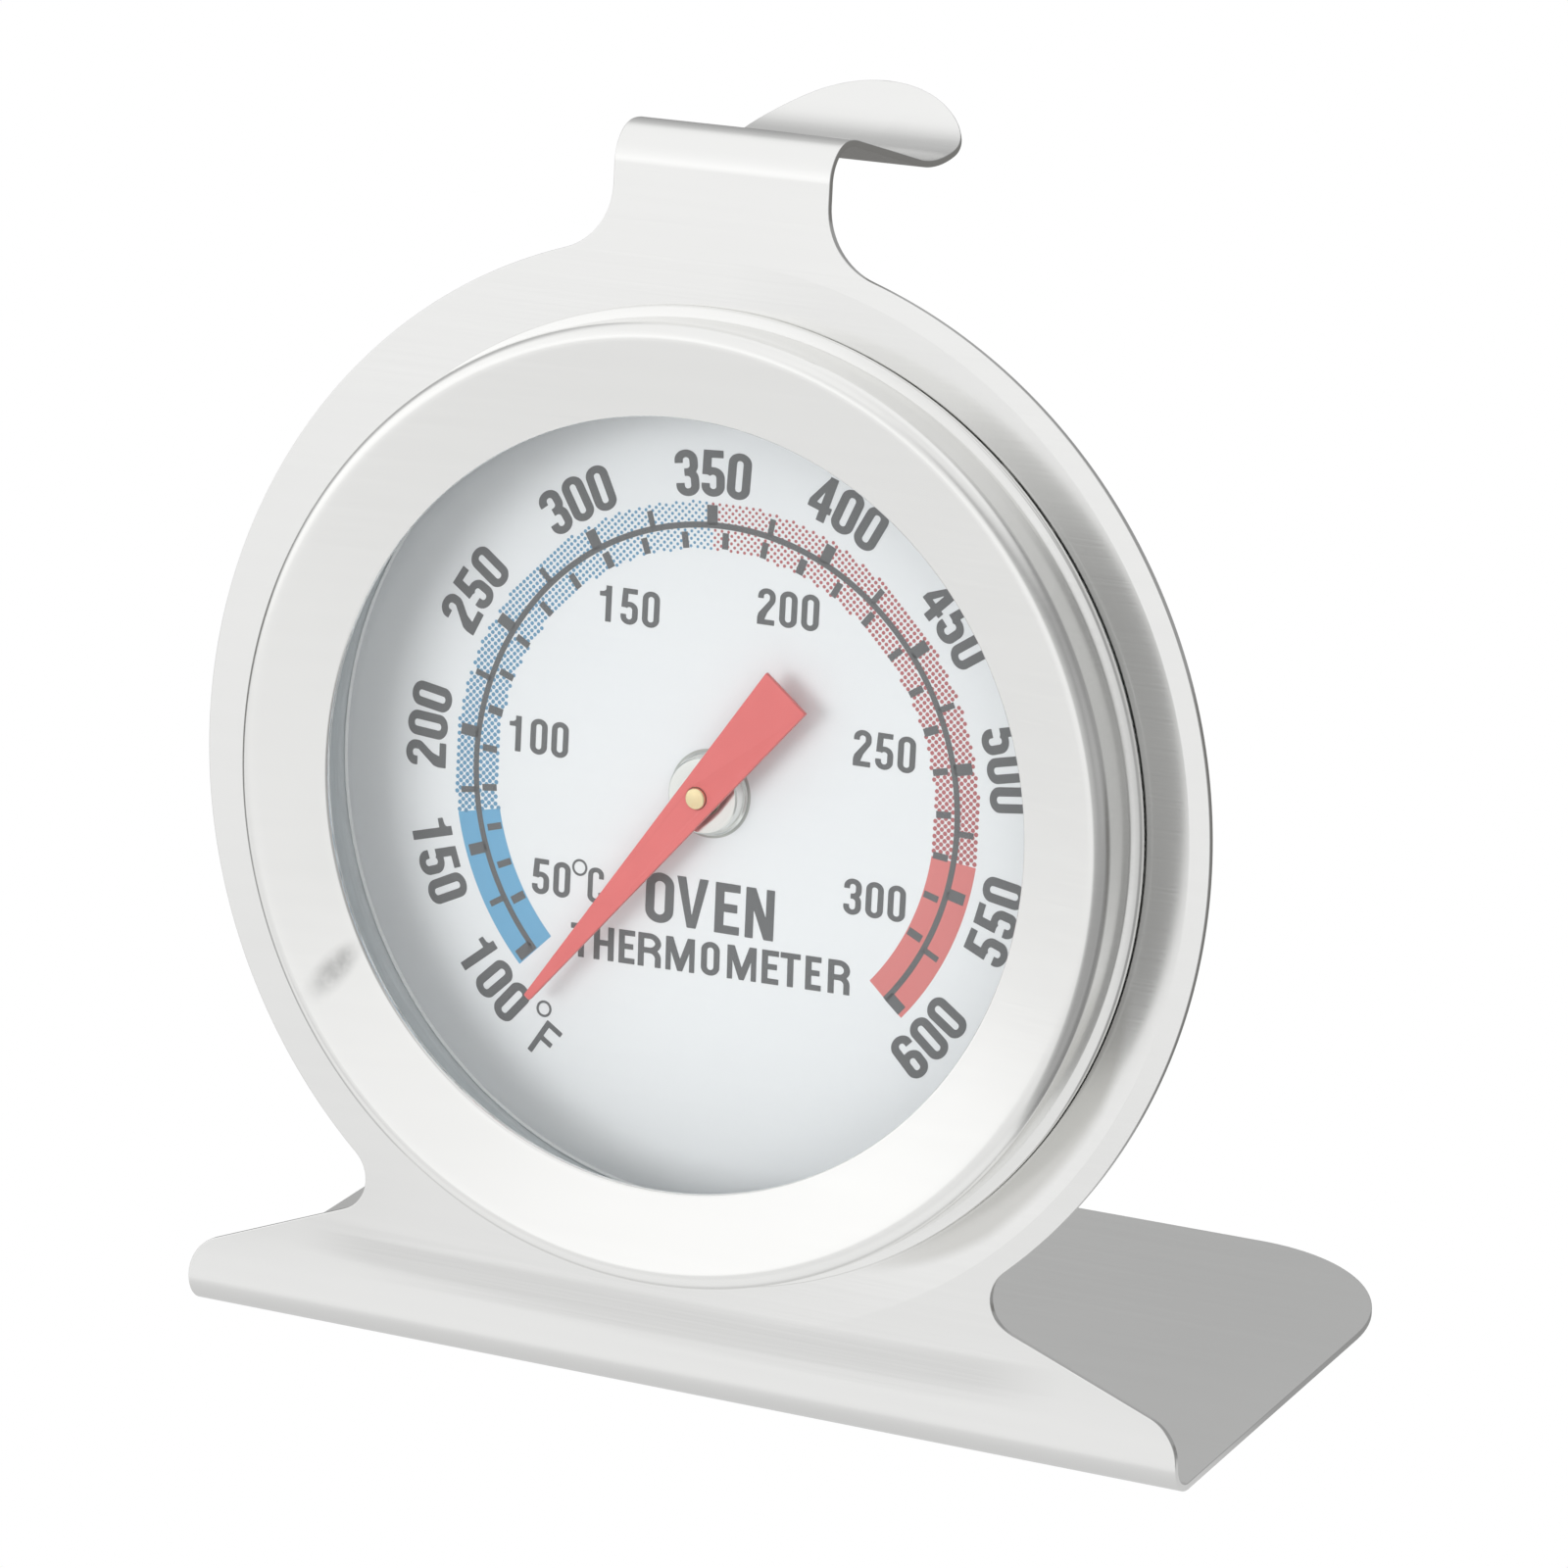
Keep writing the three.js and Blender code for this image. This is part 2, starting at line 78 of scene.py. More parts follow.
# sizes shared with the solids
SHEET = 0.4
PLATE_R = 31.0
PLATE_HOLE_R = 24.8
FOOT_HALF = 31.2
FOOT_REAR_Y = 31.8
FOOT_CORNER_R = 10.6
FOOT_BEND_R = 1.8
WAIST_R = 2.0
SHOULDER_X, SHOULDER_Z, SHOULDER_SLOPE = 21.7, -27.02, 20.5 * RAD
SHOULDER_CORNER_R = 2.6
NECK_HALF = 6.56
NECK_FILLET_R = 4.0
HOOK_START = 34.54
WINDOW_R = 21.47
BEZEL_R = 26.7
BEZEL_FOOT_R = 27.25
BEZEL_H = 4.0
BEZEL_CORNER_R = 0.85
LIP_H = 2.95
TAB_ANGLES = (45, 135, 225, 315)
DIAL_FACE = -2.65
POINTER_ANGLE = 231.8
POST_ANGLE = 300 * RAD
R = 31.0  # unit of the print layout
_zc = -34.1 + FOOT_BEND_R
_yc = (FOOT_BEND_R + math.sin(LEAN) * _zc) / math.cos(LEAN)
_yb = _yc - FOOT_BEND_R * math.sin(math.pi / 2 + LEAN)
_zb = -34.1 + FOOT_BEND_R * (1 - math.cos(math.pi / 2 + LEAN))
BLANK_CENTRE = (FOOT_REAR_Y + 1.5 - _yc) + FOOT_BEND_R * (math.pi / 2 + LEAN) - (_zb * math.cos(LEAN) + _yb * math.sin(LEAN))


# ---------------------------------------------------------------- mesh helpers
def arc(cx, cy, r, a0, a1, n):
    return [
        (cx + r * math.cos(a0 + (a1 - a0) * i / n), cy + r * math.sin(a0 + (a1 - a0) * i / n))
        for i in range(n + 1)
    ]


def area(loop):
    return 0.5 * sum(
        a[0] * b[1] - b[0] * a[1] for a, b in zip(loop, loop[1:] + loop[:1])
    )


def ccw(loop):
    return loop if area(loop) > 0 else loop[::-1]


def cw(loop):
    return loop if area(loop) < 0 else loop[::-1]


def rounded(points, radius, n=4):
    """The closed polygon with each corner rounded; radius is one number or one per corner."""
    out, count = [], len(points)
    radii = radius if hasattr(radius, "__len__") else [radius] * count
    for i in range(count):
        p, a, b = (np.array(points[k % count], float) for k in (i, i - 1, i + 1))
        u, v = a - p, b - p
        lu, lv = np.linalg.norm(u), np.linalg.norm(v)
        u, v = u / lu, v / lv
        dot = float(np.clip(u @ v, -1, 1))
        half = math.acos(dot) / 2
        r = radii[i]
        if r <= 0 or half > 0.49 * math.pi:
            out.append(tuple(p))
            continue
        t = min(r / math.tan(half), 0.45 * lu, 0.45 * lv)
        r = t * math.tan(half)
        c = p + (u + v) / np.linalg.norm(u + v) * (r / math.sin(half))
        s, e = p + u * t - c, p + v * t - c
        a0 = math.atan2(s[1], s[0])
        d = (math.atan2(e[1], e[0]) - a0 + math.pi) % (2 * math.pi) - math.pi
        out += [(c[0] + r * math.cos(a0 + d * k / n), c[1] + r * math.sin(a0 + d * k / n)) for k in range(n + 1)]
    return out


def inset(loop, d):
    """Each point moved to the left of the loop's direction, mitred."""
    if abs(d) < 1e-12:
        return list(loop)
    out, n = [], len(loop)
    for i in range(n):
        p, a, b = loop[i], loop[i - 1], loop[(i + 1) % n]
        e0 = (p[0] - a[0], p[1] - a[1])
        e1 = (b[0] - p[0], b[1] - p[1])
        l0, l1 = math.hypot(*e0), math.hypot(*e1)
        n0, n1 = (-e0[1] / l0, e0[0] / l0), (-e1[1] / l1, e1[0] / l1)
        m = (n0[0] + n1[0], n0[1] + n1[1])
        k = max(0.35, (1 + n0[0] * n1[0] + n0[1] * n1[1]))
        out.append((p[0] + d * m[0] / k, p[1] + d * m[1] / k))
    return out


class Body:
    """Vertices and faces of one object, several closed parts if need be."""

    def __init__(self):
        self.v, self.f = [], []

    def add(self, verts, faces):
        k = len(self.v)
        self.v += [tuple(map(float, p)) for p in verts]
        self.f += [tuple(i + k for i in f) for f in faces]
        return self

    def join(self, other, matrix=None):
        verts = other.v if matrix is None else [tuple(matrix @ Vector(p)) for p in other.v]
        return self.add(verts, other.f)


def slab(loops, profile, place=lambda a, b, d: (a, b, d)):
    """A flat solid. loops: outer loop anticlockwise, holes clockwise. profile: (inset, depth) rows."""
    body = Body()
    rows = []
    for ins, depth in profile:
        row = []
        for loop in loops:
            row.append([len(body.v) + i for i in range(len(loop))])
            body.v += [tuple(map(float, place(a, b, depth))) for a, b in inset(loop, ins)]
        rows.append(row)
    for lo, hi in zip(rows, rows[1:]):
        for a, b in zip(lo, hi):
            n = len(a)
            body.f += [(a[i], a[(i + 1) % n], b[(i + 1) % n], b[i]) for i in range(n)]
    for row, ins, flip in ((rows[0], profile[0][0], False), (rows[-1], profile[-1][0], True)):
        flat = [[Vector((a, b, 0)) for a, b in inset(loop, ins)] for loop in loops]
        index = [i for ids in row for i in ids]
        for t in tessellate_polygon(flat):
            t = [index[i] for i in t]
            body.f.append(tuple(t[::-1] if flip else t))
    return body


def on_dial(a, b, h):
    return (a, -h, b)


def lathe(outline, seg=192):
    """A body of revolution about the spindle axis from a closed (radius, height) outline."""
    body, rings = Body(), []
    cs = [(math.cos(2 * math.pi * k / seg), math.sin(2 * math.pi * k / seg)) for k in range(seg)]
    for r, h in outline:
        if r < 1e-6:
            rings.append([len(body.v)])
            body.v.append((0.0, -h, 0.0))
        else:
            rings.append([len(body.v) + k for k in range(seg)])
            body.v += [(r * c, -h, r * s) for c, s in cs]
    for i, a in enumerate(rings):
        b = rings[(i + 1) % len(rings)]
        if len(a) == 1 and len(b) == 1:
            continue
        for k in range(seg):
            m = (k + 1) % seg
            if len(a) == 1:
                body.f.append((a[0], b[k], b[m]))
            elif len(b) == 1:
                body.f.append((a[k], a[m], b[0]))
            else:
                body.f.append((a[k], a[m], b[m], b[k]))
    return body


def mesh_of(name, body, outward=True):
    me = bpy.data.meshes.new(name)
    me.from_pydata([(x * MM, y * MM, z * MM) for x, y, z in body.v], [], body.f)
    if outward:
        bm = bmesh.new()
        bm.from_mesh(me)
        bmesh.ops.recalc_face_normals(bm, faces=bm.faces)
        bm.to_mesh(me)
        bm.free()
    me.validate()
    return me


def shade(me, degrees=32):
    me.polygons.foreach_set("use_smooth", [True] * len(me.polygons))
    me.set_sharp_from_angle(angle=degrees * RAD)
    me.update()


def piece(name, me, matrix, body, mat, replaces=(), weighted=True):
    me.transform(matrix)
    ob = bpy.data.objects.new(name, me)
    bpy.context.scene.collection.objects.link(ob)
    me.materials.clear()
    me.materials.append(mat)
    if weighted:
        m = ob.modifiers.new("normals", "WEIGHTED_NORMAL")
        m.keep_sharp = True
        m.weight = 60
    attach(ob, body)
    if replaces:
        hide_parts(*replaces)
    return ob


# ---------------------------------------------------------------- materials
class Nodes:
    def __init__(self, name, base, metallic, rough, **sockets):
        self.mat = bpy.data.materials.new(name)
        self.mat.use_nodes = True
        self.t = self.mat.node_tree
        self.t.nodes.clear()
        self.out = self.t.nodes.new("ShaderNodeOutputMaterial")
        self.b = self.t.nodes.new("ShaderNodeBsdfPrincipled")
        self.t.links.new(self.b.outputs[0], self.out.inputs[0])
        self.base = base
        self.b.inputs["Base Color"].default_value = (*base, 1)
        self.b.inputs["Metallic"].default_value = metallic
        self.b.inputs["Roughness"].default_value = rough
        for k, v in sockets.items():
            self.b.inputs[k.replace("_", " ")].default_value = v
        self.mat.diffuse_color = (*base, 1)

    def node(self, kind, **inputs):
        n = self.t.nodes.new(kind)
        for k, v in inputs.items():
            n.inputs[k.replace("_", " ")].default_value = v
        return n

    def link(self, a, b):
        self.t.links.new(a, b)

    def coords(self, kind="Object", uv=None):
        if uv:
            n = self.t.nodes.new("ShaderNodeUVMap")
            n.uv_map = uv
            return n.outputs[0]
        return self.t.nodes.new("ShaderNodeTexCoord").outputs[kind]

    def dial_coords(self):
        """Object space turned into the dial frame, in metres."""
        turn = Matrix.Rotation(LEAN, 3, "X")
        n = self.t.nodes.new("ShaderNodeMapping")
        n.inputs["Rotation"].default_value = (LEAN, 0, 0)
        n.inputs["Location"].default_value = -(turn @ CENTRE)
        self.link(self.coords("Object"), n.inputs["Vector"])
        return n.outputs[0]

    def scaled(self, vec, scale, loc=(0, 0, 0)):
        n = self.t.nodes.new("ShaderNodeMapping")
        n.inputs["Scale"].default_value = scale
        n.inputs["Location"].default_value = loc
        self.link(vec, n.inputs["Vector"])
        return n.outputs[0]

    def noise(self, vec, scale=1.0, detail=4.0, rough=0.55, distortion=0.0):
        n = self.t.nodes.new("ShaderNodeTexNoise")
        n.inputs["Scale"].default_value = scale
        n.inputs["Detail"].default_value = detail
        n.inputs["Roughness"].default_value = rough
        n.inputs["Distortion"].default_value = distortion
        self.link(vec, n.inputs["Vector"])
        return n.outputs["Fac"]

    def ranged(self, value, a, b, low, high, smooth=False):
        n = self.t.nodes.new("ShaderNodeMapRange")
        if smooth:
            n.interpolation_type = "SMOOTHSTEP"
        for k, v in zip(("From Min", "From Max", "To Min", "To Max"), (a, b, low, high)):
            n.inputs[k].default_value = v
        self.link(value, n.inputs["Value"])
        return n.outputs[0]

    def maths(self, op, a, b=None):
        n = self.t.nodes.new("ShaderNodeMath")
        n.operation = op
        for i, x in enumerate((a, b)):
            if x is None:
                continue
            if isinstance(x, (int, float)):
                n.inputs[i].default_value = x
            else:
                self.link(x, n.inputs[i])
        return n.outputs[0]

    def mix(self, fac, a, b):
        n = self.t.nodes.new("ShaderNodeMix")
        n.data_type = "RGBA"
        self.link(fac, n.inputs["Factor"])
        for i, x in ((6, a), (7, b)):
            if isinstance(x, tuple):
                n.inputs[i].default_value = (*x, 1)
            else:
                self.link(x, n.inputs[i])
        return n.outputs[2]

    def colour(self, fac, low, high):
        """Base colour running between two multiples of the base."""
        a = tuple(c * k for c, k in zip(self.base, low))
        b = tuple(c * k for c, k in zip(self.base, high))
        out = self.mix(fac, a, b)
        self.link(out, self.b.inputs["Base Color"])
        return out

    def rough(self, value):
        self.link(value, self.b.inputs["Roughness"])

    def bump(self, height, strength, distance):
        n = self.t.nodes.new("ShaderNodeBump")
        n.inputs["Strength"].default_value = strength
        n.inputs["Distance"].default_value = distance
        self.link(height, n.inputs["Height"])
        self.link(n.outputs[0], self.b.inputs["Normal"])


def brushed_sheet(name, base, rough, uv=None, across="z", streak=1.0):
    """Satin stainless sheet: long fine streaks, a little unevenness, and painted shade: a dark spot and darker bands
    that stand in for reflections.
    """
    m = Nodes(name, base, 1.0, rough)
    vec = m.coords(uv=uv) if uv else m.dial_coords()
    k = 1.0 if uv else 1000.0  # the UV map is in millimetres, object space in metres
    fine = {"v": (0.035, 7.0, 1.0), "z": (0.035, 1.2, 7.0)}["v" if uv else across]
    wide = {"v": (0.012, 1.3, 1.0), "z": (0.012, 0.4, 1.3)}["v" if uv else across]
    streaks = m.noise(m.scaled(vec, tuple(k * c for c in fine)), 1.0, 3.0, 0.7)
    bands = m.noise(m.scaled(vec, tuple(k * c for c in wide), (3.1, 7.7, 1.9)), 1.0, 2.0, 0.5)
    cloud = m.noise(m.scaled(vec, (k * 0.09, k * 0.09, k * 0.09), (11.3, 4.2, 8.8)), 1.0, 3.0, 0.5)
    both = m.maths("ADD", m.maths("MULTIPLY", streaks, 0.6), m.maths("MULTIPLY", bands, 0.4))
    grain = m.ranged(both, 0.3, 0.7, 0.0, 1.0)
    r = m.maths("ADD", m.ranged(streaks, 0.3, 0.7, rough - 0.03 * streak, rough + 0.035 * streak),
                m.ranged(cloud, 0.35, 0.65, -0.015, 0.02))
    if not uv:
        # painted shade on the bezel face: a dark spot low on the left, standing in for the changed reflection of a
        # small dent
        spot = m.noise(m.scaled(vec, (900, 900, 900), (2.0, 5.0, 7.0)), 1.0, 3.0, 0.6)
        where = m.t.nodes.new("ShaderNodeVectorMath")
        where.operation = "LENGTH"
        turned = m.t.nodes.new("ShaderNodeMapping")
        turned.inputs["Rotation"].default_value = (0, 53 * RAD, 0)
        moved = m.t.nodes.new("ShaderNodeVectorMath")
        moved.inputs[1].default_value = (0.0204, 0.0034, 0.0122)
        m.link(vec, moved.inputs[0])
        m.link(moved.outputs[0], turned.inputs["Vector"])
        m.link(m.scaled(turned.outputs[0], (540, 500, 1300)), where.inputs[0])
        along = m.t.nodes.new("ShaderNodeSeparateXYZ")
        m.link(turned.outputs[0], along.inputs[0])
        painted_dent_shade = m.maths("MULTIPLY", m.ranged(where.outputs["Value"], 0.25, 1.5, 1.0, 0.0, True), m.ranged(spot, 0.3, 0.6, 0.5, 1.0))
        painted_dent_shade = m.maths("MULTIPLY", painted_dent_shade, m.ranged(along.outputs[0], -0.0026, 0.0013, 0.22, 1.0))
        plain = m.mix(grain, tuple(c * 0.98 for c in base), tuple(c * 1.012 for c in base))
        m.link(m.mix(painted_dent_shade, plain, tuple(c * 0.50 for c in base)), m.b.inputs["Base Color"])
        m.rough(r)
        m.bump(streaks, 0.05 * streak, 0.00002)
        return m.mat
    # the sheet is pressed in a little beside the bezel, on the side away from the fold's middle
    sep = m.t.nodes.new("ShaderNodeSeparateXYZ")
    m.link(vec, sep.inputs[0])
    x, z = sep.outputs[0], m.maths("SUBTRACT", sep.outputs[1], BLANK_CENTRE)
    rad = m.maths("SQRT", m.maths("ADD", m.maths("MULTIPLY", x, x), m.maths("MULTIPLY", z, z)))
    toward = m.maths("DIVIDE", m.maths("ADD", m.maths("MULTIPLY", x, 1.0), m.maths("MULTIPLY", z, -0.03)), rad)
    dish = m.maths("MULTIPLY", m.ranged(rad, 26.8, 29.8, 0.0, 3.0 * 0.145), m.ranged(toward, 0.0, 0.88, 0.0, 1.0))
    # painted shade: a darker band above the fold, for the reflection the start of the bend gives there; the band is a
    # little rougher too
    bow = m.maths("ADD", m.maths("MULTIPLY", m.maths("MULTIPLY", m.maths("SUBTRACT", x, 3.0), m.maths("SUBTRACT", x, 3.0)), 0.0012), -29.6)
    off = m.maths("ABSOLUTE", m.maths("SUBTRACT", z, bow))
    wob = m.maths("ADD", off, m.ranged(bands, 0.3, 0.7, -0.5, 0.5))
    band = m.maths("MULTIPLY", m.ranged(wob, 0.35, 1.6, 1.0, 0.0, True), m.ranged(m.maths("ABSOLUTE", m.maths("ADD", x, 0.0)), 18.5, 25.0, 1.0, 0.0, True))
    low, high = (tuple(c * f for c in base) for f in (0.982, 1.012))
    grain_and_painted_shade = m.mix(m.maths("MULTIPLY", band, m.ranged(streaks, 0.3, 0.62, 0.7, 1.0)), m.mix(grain, low, high), tuple(c * 0.85 for c in base))
    # painted reflection of the bezel's skirt: a faint brownish darker band beside the bezel, low on the right
    low_right = m.maths("DIVIDE", m.maths("ADD", m.maths("MULTIPLY", x, 0.788), m.maths("MULTIPLY", z, -0.616)), rad)
    edge = m.maths("SUBTRACT", rad, m.ranged(low_right, 0.885, 0.985, 27.3, 29.05))
    ring = m.maths("MULTIPLY", m.ranged(rad, 27.15, 27.45, 0.0, 1.0, True), m.ranged(edge, -0.5, 0.25, 1.0, 0.0, True))
    painted_skirt_reflection = m.maths("MULTIPLY", ring, m.ranged(low_right, 0.86, 0.98, 0.0, 1.0, True))
    grain_and_painted_shade = m.mix(painted_skirt_reflection, grain_and_painted_shade, tuple(c * f for c, f in zip(base, (0.78, 0.775, 0.76))))
    m.link(grain_and_painted_shade, m.b.inputs["Base Color"])
    m.rough(m.maths("ADD", r, m.maths("MULTIPLY", band, 0.03)))
    height = m.maths("ADD", dish, m.maths("MULTIPLY", streaks, 0.0009))
    m.bump(height, 1.0, 0.001)
    return m.mat


def make_materials():
    mats = {}
    mats["stand"] = brushed_sheet("stand_steel", (0.885, 0.885, 0.875), 0.17, uv="grain")
    mats["bezel"] = brushed_sheet("bezel_steel", (0.885, 0.885, 0.872), 0.19, across="z")

    m = Nodes("spacer_steel", (0.74, 0.775, 0.79), 0.25, 0.42)
    n = m.noise(m.scaled(m.dial_coords(), (400, 4000, 400)), 1.0, 3.0, 0.6)
    m.colour(m.ranged(n, 0.3, 0.7, 0, 1), (0.93,) * 3, (1.05,) * 3)
    m.rough(m.ranged(n, 0.3, 0.7, 0.38, 0.48))
    mats["spacer"] = m.mat

    m = Nodes("dial_white", (0.784, 0.797, 0.812), 0.0, 0.42, Specular_IOR_Level=0.4)
    vec = m.dial_coords()
    n = m.noise(m.scaled(vec, (90, 90, 90)), 1.0, 4.0, 0.55)
    f = m.noise(m.scaled(vec, (120, 120, 5200)), 1.0, 2.0, 0.6)
    m.colour(m.ranged(m.maths("ADD", m.maths("MULTIPLY", n, 0.5), m.maths("MULTIPLY", f, 0.5)), 0.3, 0.7, 0, 1),
             (0.985, 0.985, 0.99), (1.012, 1.012, 1.008))
    m.rough(m.ranged(n, 0.3, 0.7, 0.36, 0.48))
    m.bump(f, 0.05, 0.00001)
    mats["dial"] = m.mat

    for key, name, base in (
        ("ink", "print_grey", (0.115, 0.118, 0.122)),
        ("blue", "print_blue", (0.142, 0.378, 0.590)),
        ("red", "print_red", (0.650, 0.190, 0.182)),
        ("bluedot", "print_blue_dots", (0.115, 0.285, 0.450)),
        ("reddot", "print_red_dots", (0.430, 0.120, 0.125)),
    ):
        m = Nodes(name, base, 0.0, 0.5, Specular_IOR_Level=0.35)
        n = m.noise(m.scaled(m.dial_coords(), (900, 900, 900)), 1.0, 3.0, 0.6)
        m.rough(m.ranged(n, 0.3, 0.7, 0.42, 0.58))
        mats[key] = m.mat

    m = Nodes("pointer_red", (0.695, 0.126, 0.122), 0.0, 0.38, Specular_IOR_Level=0.45)
    vec = m.dial_coords()
    n = m.noise(m.scaled(vec, (350, 350, 350)), 1.0, 4.0, 0.6)
    m.colour(m.ranged(n, 0.3, 0.7, 0, 1), (0.97, 0.94, 0.94), (1.03, 1.06, 1.06))
    m.rough(m.ranged(n, 0.3, 0.7, 0.33, 0.44))
    m.bump(m.noise(m.scaled(vec, (2600, 2600, 2600)), 1.0, 2.0, 0.5), 0.08, 0.00002)
    mats["pointer"] = m.mat

    # the white is the rim's own colour; the grey is a painted shadow, a thin dark ring for the shade in the gap round
    # the bush's foot
    for key, name, base, rough in (("rim", "dial_rim_white", (0.90, 0.915, 0.92), 0.35), ("shadow_ring", "shadow_ring_grey", (0.42, 0.43, 0.41), 0.5)):
        m = Nodes(name, base, 0.0, rough, Specular_IOR_Level=0.5)
        n = m.noise(m.scaled(m.dial_coords(), (700, 700, 700)), 1.0, 3.0, 0.6)
        m.colour(m.ranged(n, 0.3, 0.7, 0, 1), (0.97,) * 3, (1.02,) * 3)
        m.rough(m.ranged(n, 0.3, 0.7, rough - 0.05, rough + 0.07))
        mats[key] = m.mat

    def turned(name, base, rough, spread=0.05, k=(0.96, 1.03)):
        m = Nodes(name, base, 1.0, rough)
        vec = m.dial_coords()
        sep = m.t.nodes.new("ShaderNodeSeparateXYZ")
        m.link(vec, sep.inputs[0])
        rad = m.maths("SQRT", m.maths("ADD", m.maths("MULTIPLY", sep.outputs[0], sep.outputs[0]),
                                      m.maths("MULTIPLY", sep.outputs[2], sep.outputs[2])))
        com = m.t.nodes.new("ShaderNodeCombineXYZ")
        m.link(m.maths("MULTIPLY", rad, 9000.0), com.inputs[0])
        m.link(m.maths("MULTIPLY", sep.outputs[1], 5000.0), com.inputs[1])
        rings = m.noise(com.outputs[0], 1.0, 3.0, 0.6)
        spots = m.noise(m.scaled(vec, (500, 500, 500)), 1.0, 3.0, 0.5)
        m.colour(m.ranged(rings, 0.3, 0.7, 0, 1), (k[0],) * 3, (k[1],) * 3)
        m.rough(m.maths("ADD", m.ranged(rings, 0.3, 0.7, rough - spread, rough + spread),
                        m.ranged(spots, 0.35, 0.65, -0.03, 0.03)))
        m.bump(rings, 0.12, 0.00002)
        return m.mat

    mats["brass"] = turned("brass", (0.96, 0.79, 0.46), 0.24, 0.04, (0.985, 1.015))
    mats["bush"] = turned("bush_metal", (0.90, 0.90, 0.87), 0.2)
    mats["case"] = turned("case_steel", (0.76, 0.76, 0.75), 0.26, 0.04, (0.94, 1.04))
    mats["plain"] = turned("post_steel", (0.72, 0.72, 0.71), 0.32)

    m = Nodes("bimetal", (0.66, 0.57, 0.42), 1.0, 0.33)
    vec = m.dial_coords()
    a = m.noise(m.scaled(vec, (160, 6000, 160)), 1.0, 3.0, 0.6)
    b = m.noise(m.scaled(vec, (260, 260, 260)), 1.0, 3.0, 0.6)
    m.colour(m.ranged(m.maths("MULTIPLY", m.maths("ADD", a, b), 0.5), 0.35, 0.65, 0, 1), (0.9, 0.88, 0.84), (1.06, 1.06, 1.04))
    m.rough(m.ranged(a, 0.3, 0.7, 0.27, 0.4))
    mats["bimetal"] = m.mat

    # clear glass; light rays from the lamps pass straight through it
    m = Nodes("lens_glass", (0.985, 0.995, 0.992), 0.0, 0.0, Transmission_Weight=1.0, IOR=1.45)
    clear = m.t.nodes.new("ShaderNodeBsdfTransparent")
    clear.inputs[0].default_value = (0.985, 0.99, 0.99, 1)
    path = m.t.nodes.new("ShaderNodeLightPath")
    mixer = m.t.nodes.new("ShaderNodeMixShader")
    either = m.maths("MAXIMUM", path.outputs["Is Shadow Ray"], path.outputs["Is Diffuse Ray"])
    m.link(either, mixer.inputs[0])
    m.link(m.b.outputs[0], mixer.inputs[1])
    m.link(clear.outputs[0], mixer.inputs[2])
    m.link(mixer.outputs[0], m.out.inputs[0])
    mats["glass"] = m.mat
    return mats


MAT = make_materials()


# ---------------------------------------------------------------- folded stand
class Fold:
    """The sheet's outer skin seen from the side: (length, turn) steps from a point and heading."""

    def __init__(self, y, z, a):
        self.y, self.z, self.a, self.s = y, z, a, 0.0
        self.rows = []

    def go(self, length, turn=0.0):
        self.rows.append((self.s, length, turn, self.y, self.z, self.a))
        self.y, self.z, self.a = self._end(length, length, turn, self.y, self.z, self.a)
        self.s += length
        return self.s

    @staticmethod
    def _end(d, length, turn, y, z, a):
        if abs(turn) < 1e-12:
            return y + d * math.cos(a), z + d * math.sin(a), a
        r, b = length / turn, a + turn * d / length
        return y + r * (math.sin(b) - math.sin(a)), z - r * (math.cos(b) - math.cos(a)), b

    def at(self, s):
        row = self.rows[0]
        for r in self.rows:
            if s >= r[0] - 1e-12:
                row = r
        return self._end(s - row[0], *row[1:])


